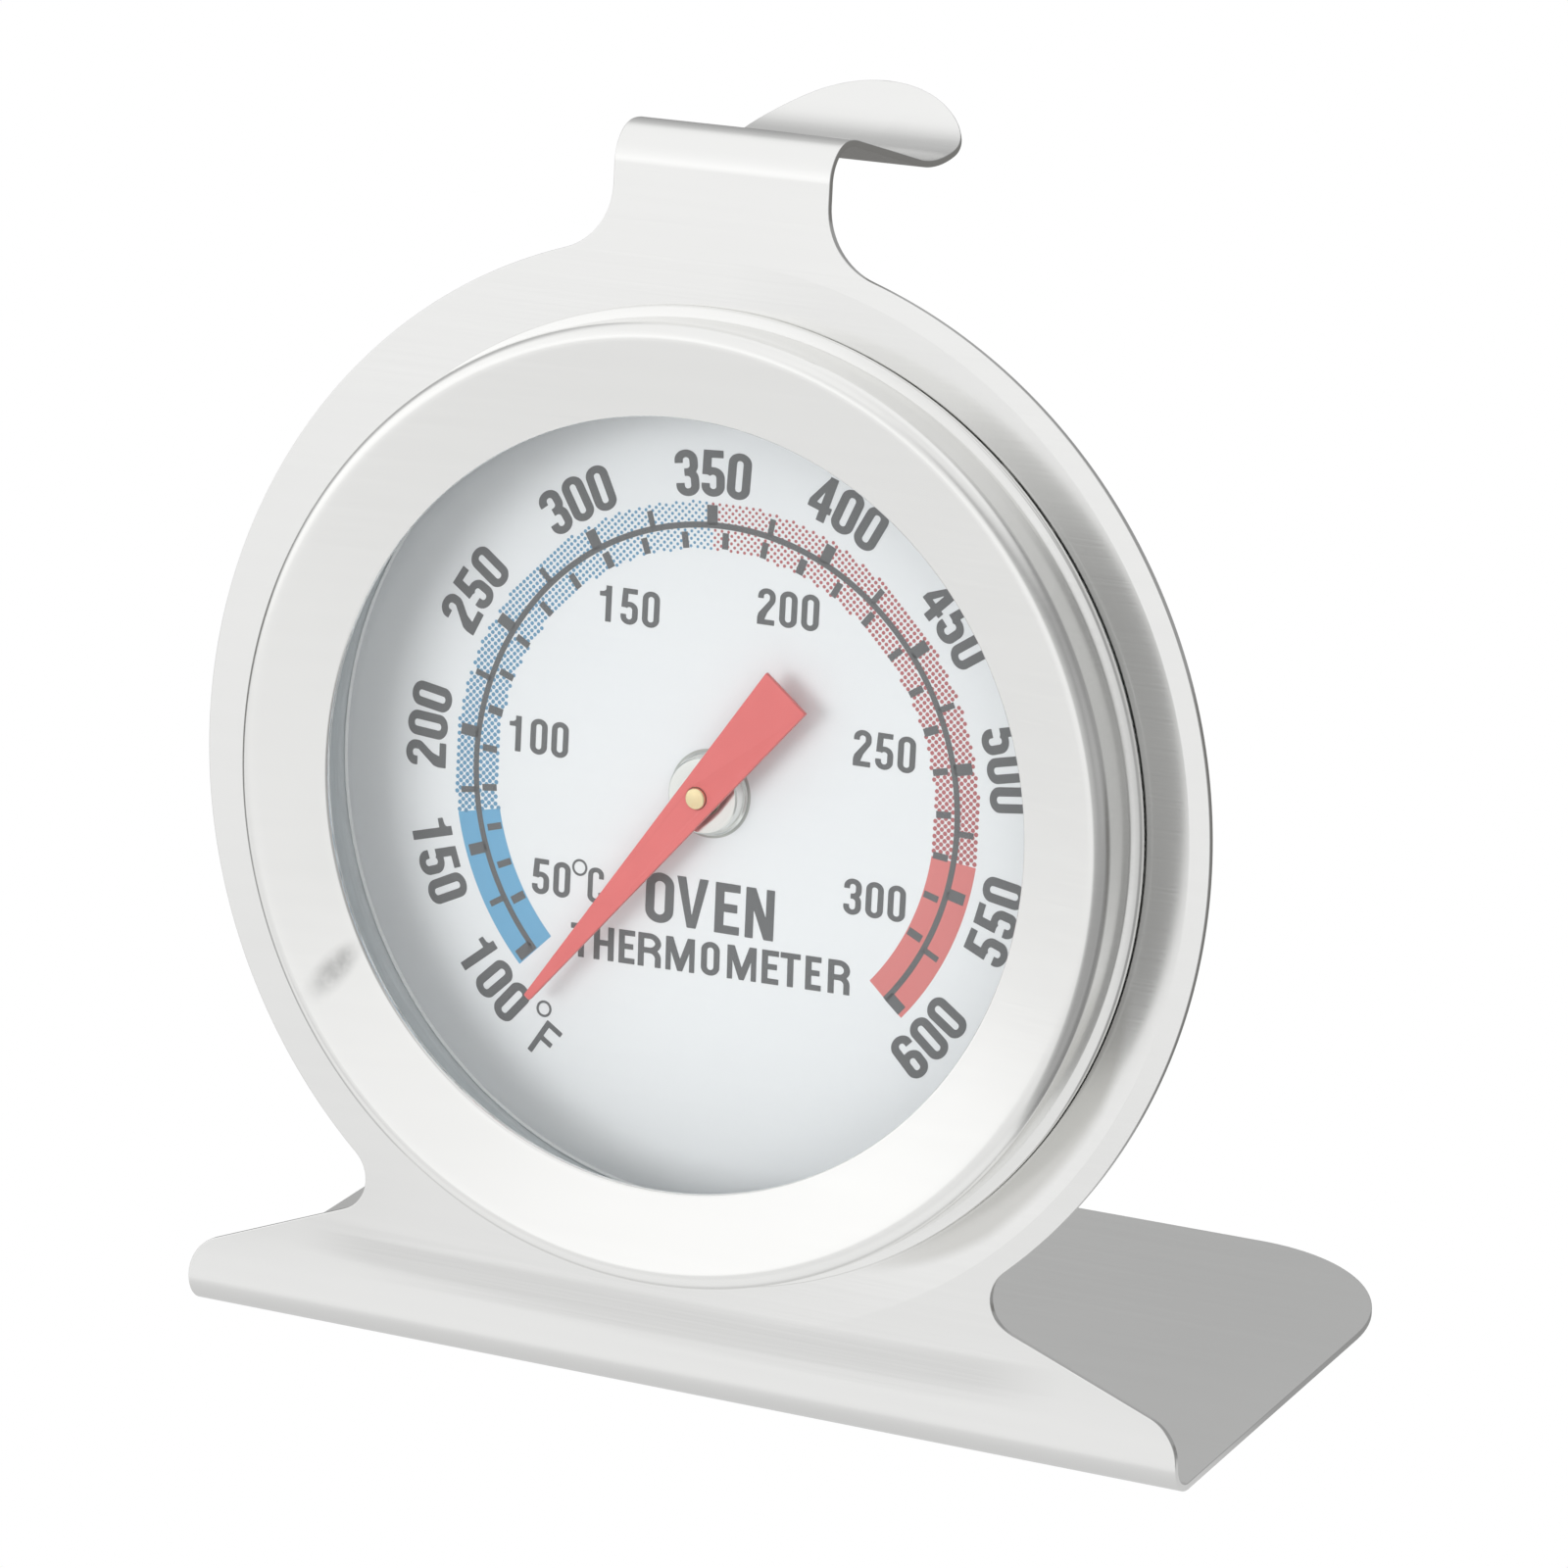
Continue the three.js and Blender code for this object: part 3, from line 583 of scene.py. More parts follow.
def stand():
    sin, cos = math.sin(LEAN), math.cos(LEAN)
    centre_h = (CENTRE.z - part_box("stand_bracket")[0].z) / MM
    fold = Fold(FOOT_REAR_Y + 1.5, -centre_h, math.pi)
    zc = -centre_h + FOOT_BEND_R
    yc = (FOOT_BEND_R + sin * zc) / cos
    s_bend = fold.go(fold.y - yc)
    s_plate = fold.go(FOOT_BEND_R * (math.pi / 2 + LEAN), -(math.pi / 2 + LEAN))
    z_plate = fold.z * cos + fold.y * sin
    s_neck = fold.go(HOOK_START - z_plate)
    s_h1 = fold.go(2.22 * 87 * RAD, -87 * RAD)
    s_h2 = fold.go(4.57 * 15.2 * RAD, -15.2 * RAD)
    s_h3 = fold.go(7.77)
    s_h4 = fold.go(8.87 * 54.3 * RAD, 54.3 * RAD)
    s_end = fold.go(1.42)
    tip_y = fold.y

    def up(z):
        return s_plate + z - z_plate

    def s_of_y(y):
        lo, hi = s_h2, s_end
        for _ in range(50):
            mid = (lo + hi) / 2
            lo, hi = (mid, hi) if fold.at(mid)[0] < y else (lo, mid)
        return lo

    neck_z = math.sqrt((PLATE_R + NECK_FILLET_R) ** 2 - (NECK_HALF + NECK_FILLET_R) ** 2)
    neck_x = NECK_HALF + NECK_FILLET_R
    plate_top = math.atan2(neck_z, neck_x)
    ux, uz = math.sin(SHOULDER_SLOPE), math.cos(SHOULDER_SLOPE)
    ax, az = math.cos(SHOULDER_SLOPE), -math.sin(SHOULDER_SLOPE)
    px, pz = SHOULDER_X + WAIST_R * ux, SHOULDER_Z + WAIST_R * uz
    b = px * ax + pz * az
    c = px * px + pz * pz - (PLATE_R + WAIST_R) ** 2
    k = -b + math.sqrt(b * b - c)
    wx, wz = px + k * ax, pz + k * az
    plate_low = math.atan2(wz, wx)
    corner_z = SHOULDER_Z - (FOOT_HALF - SHOULDER_X) * math.tan(SHOULDER_SLOPE)
    tangent = SHOULDER_CORNER_R * math.tan((math.pi / 2 - SHOULDER_SLOPE) / 2)
    right = []
    right += arc(FOOT_HALF - FOOT_CORNER_R, 1.5 + FOOT_CORNER_R, FOOT_CORNER_R, -math.pi / 2, 0, 28)
    corner = arc(FOOT_HALF - SHOULDER_CORNER_R, corner_z - tangent, SHOULDER_CORNER_R, 0, math.pi / 2 - SHOULDER_SLOPE, 14)
    right += [(x, up(z)) for x, z in corner]
    waist = arc(wx, wz, WAIST_R, 1.5 * math.pi - SHOULDER_SLOPE, math.pi + plate_low, 14)
    right += [(x, up(z)) for x, z in waist]
    right += [(x, up(z)) for x, z in arc(0, 0, PLATE_R, plate_low, plate_top, 110)[1:-1]]
    right += [(x, up(z)) for x, z in arc(neck_x, neck_z, NECK_FILLET_R, math.pi + plate_top, math.pi, 16)]
    end = []
    for i in range(41):
        t = math.pi / 2 * i / 40
        end.append((NECK_HALF * math.cos(t), s_of_y(tip_y - 5.0 + 5.0 * math.sin(t))))
    right += end
    outline = right[:-1] + [(0.0, right[-1][1])] + [(-x, s) for x, s in right[:-1][::-1]]
    outline = ccw([p for i, p in enumerate(outline) if math.dist(p, outline[i - 1]) > 1e-4])
    holes = [cw(arc(0, up(0), PLATE_HOLE_R, 0, 2 * math.pi, 160)[:-1])]
    for deg in TAB_ANGLES:
        a = deg * RAD
        u, v = (math.cos(a), math.sin(a)), (-math.sin(a), math.cos(a))
        rect = rounded([(26.05, -2.3), (27.05, -2.3), (27.05, 2.3), (26.05, 2.3)], 0.15, 3)
        holes.append(cw([(r * u[0] + t * v[0], up(r * u[1] + t * v[1])) for r, t in rect]))
    e = 0.055
    profile = [(e, 0), (0.3 * e, 0.3 * e), (0, e), (0, SHEET - e), (0.3 * e, SHEET - 0.3 * e), (e, SHEET)]
    body = slab([outline] + holes, profile)
    me = bpy.data.meshes.new("stand")
    me.from_pydata(body.v, [], body.f)
    bm = bmesh.new()
    bm.from_mesh(me)
    cuts = []
    for s0, s1, n in ((s_bend, s_plate, 24), (s_neck, s_h1, 22), (s_h1, s_h2, 8), (s_h3, s_h4, 26)):
        cuts += [s0 + (s1 - s0) * i / n for i in range(n + 1)]
    for s in sorted(set(round(s, 6) for s in cuts)):
        bmesh.ops.bisect_plane(bm, geom=bm.verts[:] + bm.edges[:] + bm.faces[:], dist=1e-5,
                               plane_co=(0, s, 0), plane_no=(0, 1, 0))
    bmesh.ops.recalc_face_normals(bm, faces=bm.faces)
    bm.to_mesh(me)
    bm.free()
    # normals of the flat blank, weighted by face area, then bent with it
    shade(me, 50)
    tmp = bpy.data.objects.new("flat_blank", me)
    bpy.context.scene.collection.objects.link(tmp)
    mod = tmp.modifiers.new("n", "WEIGHTED_NORMAL")
    mod.keep_sharp = True
    mod.weight = 90
    dg = bpy.context.evaluated_depsgraph_get()
    dg.update()
    ev = tmp.evaluated_get(dg).to_mesh()
    normals = np.zeros(len(ev.loops) * 3)
    ev.corner_normals.foreach_get("vector", normals)
    normals = normals.reshape(-1, 3)
    tmp.evaluated_get(dg).to_mesh_clear()
    bpy.data.objects.remove(tmp)
    co = np.zeros(len(me.vertices) * 3)
    me.vertices.foreach_get("co", co)
    co = co.reshape(-1, 3)
    bent = np.zeros_like(co)
    frames = []
    for i, (x, s, d) in enumerate(co):
        y, z, a = fold.at(s)
        bent[i] = (x, y + d * math.sin(a), z - d * math.cos(a))
        frames.append(a)
    idx = np.zeros(len(me.loops), int)
    me.loops.foreach_get("vertex_index", idx)
    heading = np.array(frames)[idx]
    nx, ns, nd = normals[:, 0], normals[:, 1], normals[:, 2]
    out = np.stack([nx, ns * np.cos(heading) + nd * np.sin(heading),
                    ns * np.sin(heading) - nd * np.cos(heading)], 1)
    bent[:, 2] = np.minimum(bent[:, 2], (CAD_HIGH.z - CENTRE.z) / MM)
    me.vertices.foreach_set("co", (bent * MM).ravel())
    uv = me.uv_layers.new(name="grain")
    uv.data.foreach_set("uv", co[idx][:, :2].ravel())
    # the blank's (x, s, depth) axes and the folded ones differ in handedness where depth runs inwards
    flip = np.linalg.det(np.array([[1, 0, 0], [0, math.cos(heading[0]), math.sin(heading[0])],
                                   [0, math.sin(heading[0]), -math.cos(heading[0])]])) < 0
    if flip:
        bm = bmesh.new()
        bm.from_mesh(me)
        bmesh.ops.reverse_faces(bm, faces=bm.faces)
        bm.to_mesh(me)
        bm.free()
        # reversing keeps each face's first corner and turns the rest round
        order = np.arange(len(me.loops))
        for p in me.polygons:
            a, n = p.loop_start, p.loop_total
            order[a:a + n] = [a] + list(range(a + n - 1, a, -1))
        new_idx = np.zeros(len(me.loops), int)
        me.loops.foreach_get("vertex_index", new_idx)
        if not np.array_equal(new_idx, idx[order]):
            # fall back on matching corners by vertex inside each face
            for p in me.polygons:
                a, n = p.loop_start, p.loop_total
                old = {int(idx[a + i]): a + i for i in range(n)}
                for i in range(n):
                    order[a + i] = old[int(new_idx[a + i])]
        out = out[order]
    me.validate()
    me.normals_split_custom_set([tuple(v) for v in out])
    me.update()
    piece("stand_sheet", me, STAND, "case", MAT["stand"], ("stand_bracket",), weighted=False)


stand()


# ---------------------------------------------------------------- bezel
def bezel():
    t = SHEET
    rc, hc = BEZEL_R - BEZEL_CORNER_R, BEZEL_H - BEZEL_CORNER_R
    outer = arc(rc, hc, BEZEL_CORNER_R, 103.5 * RAD, 0, 20)
    face0 = (WINDOW_R + 0.16, LIP_H + 0.005)
    # the face runs straight from the window to the rounded corner
    steps = [(face0[0] + (outer[0][0] - face0[0]) * i / 10, face0[1] + (outer[0][1] - face0[1]) * i / 10) for i in range(10)]
    # skirt, a fine groove, a narrow sloping flange and its rounded rim, just clear of the plate
    skirt = [(BEZEL_R, 2.2), (BEZEL_R, 0.98), (26.69, 0.92), (26.64, 0.85), (26.56, 0.79), (26.52, 0.745), (26.53, 0.705),
             (26.58, 0.683), (26.66, 0.67)]
    skirt += arc(BEZEL_FOOT_R - 0.13, 0.43, 0.13, 77 * RAD, 0, 8)
    skirt += [(BEZEL_FOOT_R, 0.2), (27.24, 0.14), (27.20, 0.12)]
    inside = [(26.92, 0.12), (26.88, 0.14), (26.86, 0.18), (26.82, 0.36), (26.66, 0.42), (26.45, 0.62), (26.33, 0.95),
              (BEZEL_R - t, 1.3), (BEZEL_R - t, 2.4)]
    inner = arc(rc, hc, BEZEL_CORNER_R - t, 0, 102 * RAD, 8)
    lip = [(WINDOW_R + 0.08, LIP_H - t + 0.005), (WINDOW_R + 0.02, LIP_H - t + 0.03), (WINDOW_R, LIP_H - t + 0.09),
           (WINDOW_R, LIP_H - 0.13), (WINDOW_R + 0.03, LIP_H - 0.055), (WINDOW_R + 0.085, LIP_H - 0.01)]
    body = lathe(steps + outer + skirt + inside + inner + lip, 288)
    # four tabs through the stand's slots, folded outwards behind it
    for deg in TAB_ANGLES:
        bend = rounded([(26.35, 0.5), (26.35, -1.1), (28.95, -1.1), (28.95, -0.7), (26.75, -0.7), (26.75, 0.5)],
                       [0, 0.42, 0.1, 0.1, 0.08, 0], 6)
        tab = slab([ccw(bend)], [(0.05, -2.0), (0.015, -1.985), (0, -1.95), (0, 1.95), (0.015, 1.985), (0.05, 2.0)],
                   lambda r, h, w: (r, -h, w))
        body.join(tab, Matrix.Rotation(-deg * RAD, 4, "Y"))
    me = mesh_of("bezel_ring", body)
    shade(me, 40)
    piece("bezel_ring", me, DIAL, "case", MAT["bezel"], ("bezel",))


bezel()


# ---------------------------------------------------------------- glass, spacer, dial
def simple_turned(name, outline, radius, seg, body, mat, replaces, angle=35, n=4):
    me = mesh_of(name, lathe(rounded(outline, radius, n), seg))
    shade(me, angle)
    return piece(name, me, DIAL, body, mat, replaces)


simple_turned("glass_disc", [(0, 1.05), (25.9, 1.05), (25.9, 2.25), (0, 2.25)], [0, 0.1, 0.1, 0], 256,
              "case", MAT["glass"], ("lens",), angle=20)
simple_turned("spacer_band", [(23.345, -2.645), (23.8, -2.645), (23.8, 0.75), (23.45, 0.75), (23.45, -2.2), (23.40, -2.45)],
              [0, 0, 0.06, 0.06, 0.1, 0.05], 256,
              "case", MAT["spacer"], ("spacer_ring",))
simple_turned("dial_disc", [(1.75, DIAL_FACE - 0.5), (23.8, DIAL_FACE - 0.5), (23.8, DIAL_FACE), (1.75, DIAL_FACE)],
              0.05, 224, "case", MAT["dial"], ("dial_plate",))


simple_turned("dial_rim", [(23.12, -2.665), (23.25, -2.53), (23.30, -2.53), (23.34, -2.665)], [0.02, 0.03, 0.02, 0.01], 256,
              "case", MAT["rim"], ())
# painted shadow: a thin dark grey ring on the dial round the bush's foot, for the shade in the gap there
simple_turned("bush_shadow_ring", [(2.25, -2.66), (2.5, -2.66), (2.5, -2.643), (2.25, -2.643)], 0.006, 96,
              "case", MAT["shadow_ring"], ())


# ---------------------------------------------------------------- lettering of the builder's own design
class Glyph:
    """A condensed grotesque character as a union of simple strokes, in a space where x runs 0..W
    and Y runs 0..q, stretched so that every stroke is w wide; q brings the height back to 1."""

    def __init__(self, W, w, level):
        self.W, self.w, self.q = W, w, w / level
        step = 0.0125
        xs = np.arange(-0.04, W + 0.04 + step, step)
        ys = np.arange(-0.04, self.q + 0.04 + step, step)
        self.x0, self.y0, self.step = xs[0], ys[0], step
        self.X, self.Y = np.meshgrid(xs, ys)
        self.F = np.full(self.X.shape, 9.0)

    def put(self, f):
        self.F = np.minimum(self.F, f)

    def box(self, x0, y0, x1, y1):
        self.put(np.maximum(abs(self.X - (x0 + x1) / 2) - (x1 - x0) / 2, abs(self.Y - (y0 + y1) / 2) - (y1 - y0) / 2))

    def ring(self, cx, cy, r, a0, a1):
        x, y = self.X - cx, self.Y - cy
        d = abs(np.hypot(x, y) - r) - self.w / 2
        if a1 - a0 < 359:
            f1 = math.sin(a0 * RAD) * x - math.cos(a0 * RAD) * y
            f2 = -math.sin(a1 * RAD) * x + math.cos(a1 * RAD) * y
            d = np.maximum(d, np.maximum(f1, f2) if a1 - a0 <= 180 else np.minimum(f1, f2))
        self.put(d)

    def poly(self, pts):
        X, Y = self.X, self.Y
        best = np.full(X.shape, 1e9)
        inside = np.zeros(X.shape, bool)
        for (ax, ay), (bx, by) in zip(pts, pts[1:] + pts[:1]):
            ex, ey = bx - ax, by - ay
            t = np.clip(((X - ax) * ex + (Y - ay) * ey) / (ex * ex + ey * ey), 0, 1)
            best = np.minimum(best, np.hypot(X - ax - t * ex, Y - ay - t * ey))
            cross = ((ay > Y) != (by > Y)) & (X < (bx - ax) * (Y - ay) / ((by - ay) if by != ay else 1e-12) + ax)
            inside ^= cross
        self.put(np.where(inside, -best, best))

    def loops(self):
        """The outline, each loop with the ink on its left, in units of the height."""
        F, ends, pts = self.F, {}, {}
        ins = F < 0

        def point(edge):
            kind, i, j = edge
            if kind == "h":
                a, b = F[j, i], F[j, i + 1]
                return (i + a / (a - b), float(j))
            a, b = F[j, i], F[j + 1, i]
            return (float(i), j + a / (a - b))

        table = {1: [(0, 3)], 2: [(1, 0)], 4: [(2, 1)], 8: [(3, 2)], 3: [(1, 3)], 6: [(2, 0)], 12: [(3, 1)], 9: [(0, 2)],
                 7: [(2, 3)], 11: [(1, 2)], 13: [(0, 1)], 14: [(3, 0)], 5: [(0, 3), (2, 1)], 10: [(1, 0), (3, 2)]}
        code = ins[:-1, :-1] * 1 + ins[:-1, 1:] * 2 + ins[1:, 1:] * 4 + ins[1:, :-1] * 8
        for j, i in zip(*np.nonzero((code > 0) & (code < 15))):
            edges = (("h", i, j), ("v", i + 1, j), ("h", i, j + 1), ("v", i, j))
            for a, b in table[int(code[j, i])]:
                ends[edges[a]] = edges[b]
                pts[edges[a]] = point(edges[a])
        out = []
        while ends:
            start = next(iter(ends))
            loop, e = [], start
            while e in ends:
                loop.append(pts[e])
                e = ends.pop(e)
            loop = [(self.x0 + x * self.step, (self.y0 + y * self.step) / self.q) for x, y in loop]
            loop = thinned(loop, 0.0022)
            if len(loop) > 2 and abs(area(loop)) > 1e-4:
                out.append(loop)
        return sorted(out, key=lambda l: -abs(area(l)))


def thinned(loop, eps):
    """The closed loop without the points that a straight line already passes."""
    pts = np.array(loop)
    far = int(np.argmax(np.hypot(*(pts - pts[0]).T)))

    def keep(a, b):
        if b - a < 2:
            return []
        p, q = pts[a], pts[b % len(pts)]
        d = q - p
        rel = pts[a + 1:b] - p
        dist = abs(rel[:, 0] * d[1] - rel[:, 1] * d[0]) / max(np.hypot(*d), 1e-12)
        k = int(np.argmax(dist))
        if dist[k] < eps:
            return []
        return keep(a, a + 1 + k) + [a + 1 + k] + keep(a + 1 + k, b)

    ids = [0] + keep(0, far) + [far] + keep(far, len(pts))
    return [tuple(pts[i]) for i in ids]


def draw(ch, W, w, level):
    g = Glyph(W, w, level)
    H = g.q
    r, cx = (W - w) / 2, W / 2
    yt, yb = H - w / 2 - r, w / 2 + r
    ym = 0.515 * H
    right, s = W - w, 0.07
    if ch in "0O":
        g.ring(cx, yt, r, 0, 180), g.ring(cx, yb, r, 180, 360)
        g.box(0, yb, w, yt), g.box(right, yb, W, yt)
    elif ch == "C":
        g.ring(cx, yt, r, 0, 180), g.ring(cx, yb, r, 180, 360)
        g.box(0, yb, w, yt), g.box(right, yt - 0.11, W, yt), g.box(right, yb, W, yb + 0.11)
    elif ch == "1":
        a = 0.37 * W
        g.box(a, 0, a + w * 1.02, H)
        g.poly([(0, 0.70 * H), (a + 0.02, 0.70 * H), (a + w * 0.9, 0.80 * H), (a + w * 1.02, H), (a + w * 0.42, H), (a + w * 0.15, 0.905 * H), (a - 0.06, 0.838 * H), (0, 0.822 * H)])
    elif ch == "2":
        yk, al = yt - 0.075, 38
        g.ring(cx, yt, r, 0, 180), g.box(0, yt - s, w, yt), g.box(right, yk, W, yt)
        g.ring(cx, yk, r, -al, 0)
        co, si = math.cos(al * RAD), math.sin(al * RAD)
        oe = (cx + (r + w / 2) * co, yk - (r + w / 2) * si)
        ie = (cx + (r - w / 2) * co, yk - (r - w / 2) * si)
        g.poly([ie, (0.06 * W, 0.31 * H), (0.0, 0.2 * H), (0, 0), (0.3 * W, 0), (w * 1.25, w * 0.98), (0.56 * W, 0.34 * H), oe])
        g.box(0, 0, W * 0.985, w)
    elif ch == "3":
        g.ring(cx, yt, r, 0, 180), g.box(0, yt - s, w, yt), g.box(right, ym + r, W, yt)
        g.ring(cx, ym + r, r, -90, 0), g.ring(cx, ym - r, r, 0, 90)
        g.box(cx - 0.06, ym - w / 2, cx + 0.01, ym + w / 2)
        g.box(right, yb, W, ym - r), g.ring(cx, yb, r, 180, 360), g.box(0, yb, w, yb + s)
    elif ch == "4":
        a, bar = 0.53 * W, 0.215 * H
        g.box(a, 0, a + w, H), g.box(0, bar, W * 1.02, bar + w * 0.92)
        g.poly([(a + 0.02, H), (0, bar + w * 0.95), (0, bar + 0.02), (w * 0.9, bar + w * 0.5), (w * 0.9, bar + w * 0.9), (a + 0.02, 0.70 * H)])
    elif ch == "5":
        y5 = 0.635 * H - w / 2 - r
        g.box(0.10 * W, H - w, W * 0.95, H)
        g.poly([(0.03 * W, 0.47 * H), (w + 0.01, 0.47 * H), (w + 0.035, 0.62 * H), (0.10 * W + w, H), (0.10 * W, H)])
        g.ring(cx, y5, r, 0, 150), g.box(right, yb, W, y5)
        g.ring(cx, yb, r, 180, 360), g.box(0, yb, w, yb + s)
    elif ch == "6":
        y6 = 0.61 * H - w / 2 - r
        g.ring(cx, yt, r, 0, 180), g.box(right, yt - s, W, yt), g.box(0, yb, w, yt)
        g.ring(cx, y6, r, 0, 180), g.box(right, yb, W, y6), g.ring(cx, yb, r, 180, 360)
    elif ch in "FE":
        g.box(0, 0, w, H), g.box(0, H - w, W, H), g.box(0, ym - w / 2, W * 0.9, ym + w / 2)
        if ch == "E":
            g.box(0, 0, W, w)
    elif ch == "T":
        g.box(0, H - w, W, H), g.box(cx - w / 2, 0, cx + w / 2, H)
    elif ch == "H":
        g.box(0, 0, w, H), g.box(right, 0, W, H), g.box(0, ym - w / 2, W, ym + w / 2)
    elif ch == "N":
        g.box(0, 0, w * 0.95, H), g.box(W - w * 0.95, 0, W, H)
        g.poly([(0, H), (w * 1.12, H), (W, 0), (W - w * 1.12, 0)])
    elif ch == "M":
        g.box(0, 0, w * 0.92, H), g.box(W - w * 0.92, 0, W, H)
        g.poly([(0, H), (w * 1.25, H), (cx, 0.36 * H), (W - w * 1.25, H), (W, H), (cx + w * 0.42, 0), (cx - w * 0.42, 0)])
    elif ch == "V":
        g.poly([(0, H), (w * 1.05, H), (cx, 0.24 * H), (W - w * 1.05, H), (W, H), (cx + w * 0.52, 0), (cx - w * 0.52, 0)])
    elif ch == "R":
        yr = 0.49 * H
        g.box(0, 0, w, H), g.box(0, H - w, cx, H), g.box(0, yr - w / 2, cx, yr + w / 2)
        g.ring(cx, yt, r, 0, 90), g.box(right, yr + r, W, yt), g.ring(cx, yr + r, r, -90, 0)
        g.ring(cx, yr - r, r, 0, 90), g.box(right, 0, W, yr - r)
    return g.loops()


INK_LOW, INK_TOP, TINT_TOP = DIAL_FACE - 0.004, DIAL_FACE + 0.020, DIAL_FACE + 0.010
_shapes = {}


def glyph(body, ch, height, x, z, turn, W, w, level):
    """One character with its cell's centre at (x, z), turned anticlockwise by turn degrees."""
    key = (ch, W, w, level)
    if key not in _shapes:
        _shapes[key] = draw(*key)
    co, si = math.cos(turn * RAD), math.sin(turn * RAD)
    loops = []
    for loop in _shapes[key]:
        pts = [((a - W / 2) * height, (b - 0.5) * height) for a, b in loop]
        loops.append([(x + a * co - b * si, z + a * si + b * co) for a, b in pts])
    loops = [ccw(loops[0])] + [cw(l) for l in loops[1:]]
    body.join(slab(loops, [(0, INK_LOW), (0, INK_TOP)], on_dial))


def sector(body, r0, r1, a0, a1, top=INK_TOP):
    """A flat sector of a ring between two angles in degrees."""
    n = max(2, int(abs(a1 - a0) / 1.0) + 1)
    loop = arc(0, 0, r1, a0 * RAD, a1 * RAD, n) + arc(0, 0, r0, a1 * RAD, a0 * RAD, n)
    body.join(slab([ccw(loop)], [(0, INK_LOW), (0, top)], on_dial))


def bar(body, r0, r1, angle, width, top=INK_TOP):
    a = angle * RAD
    u, v = (math.cos(a), math.sin(a)), (-math.sin(a), math.cos(a))
    loop = [(r * u[0] + t * v[0], r * u[1] + t * v[1]) for r, t in
            ((r0, -width / 2), (r1, -width / 2), (r1, width / 2), (r0, width / 2))]
    body.join(slab([ccw(loop)], [(0, INK_LOW), (0, top)], on_dial))


def ring_mark(body, x, z, r_out, width):
    outer, inner = arc(x, z, r_out, 0, 2 * math.pi, 28)[:-1], arc(x, z, r_out - width, 0, 2 * math.pi, 28)[:-1]
    body.join(slab([ccw(outer), cw(inner)], [(0, INK_LOW), (0, INK_TOP)], on_dial))


SCALE = {100: 223.0, 125: 211.1, 150: 199.5, 175: 187.0, 200: 174.5, 225: 162.1, 250: 149.5, 275: 135.5, 300: 121.5,
         325: 107.25, 350: 93.1, 375: 79.5, 400: 66.0, 425: 52.4, 450: 38.6, 475: 25.75, 500: 12.9, 525: -0.4,
         550: -13.4, 575: -27.0, 600: -40.4}
LINE_R, LINE_W = 14.95, 0.34
BAND_IN, BAND_OUT = 13.6, 16.3


def on_scale(f):
    keys = sorted(SCALE)
    return float(np.interp(f, keys, [SCALE[k] for k in keys]))


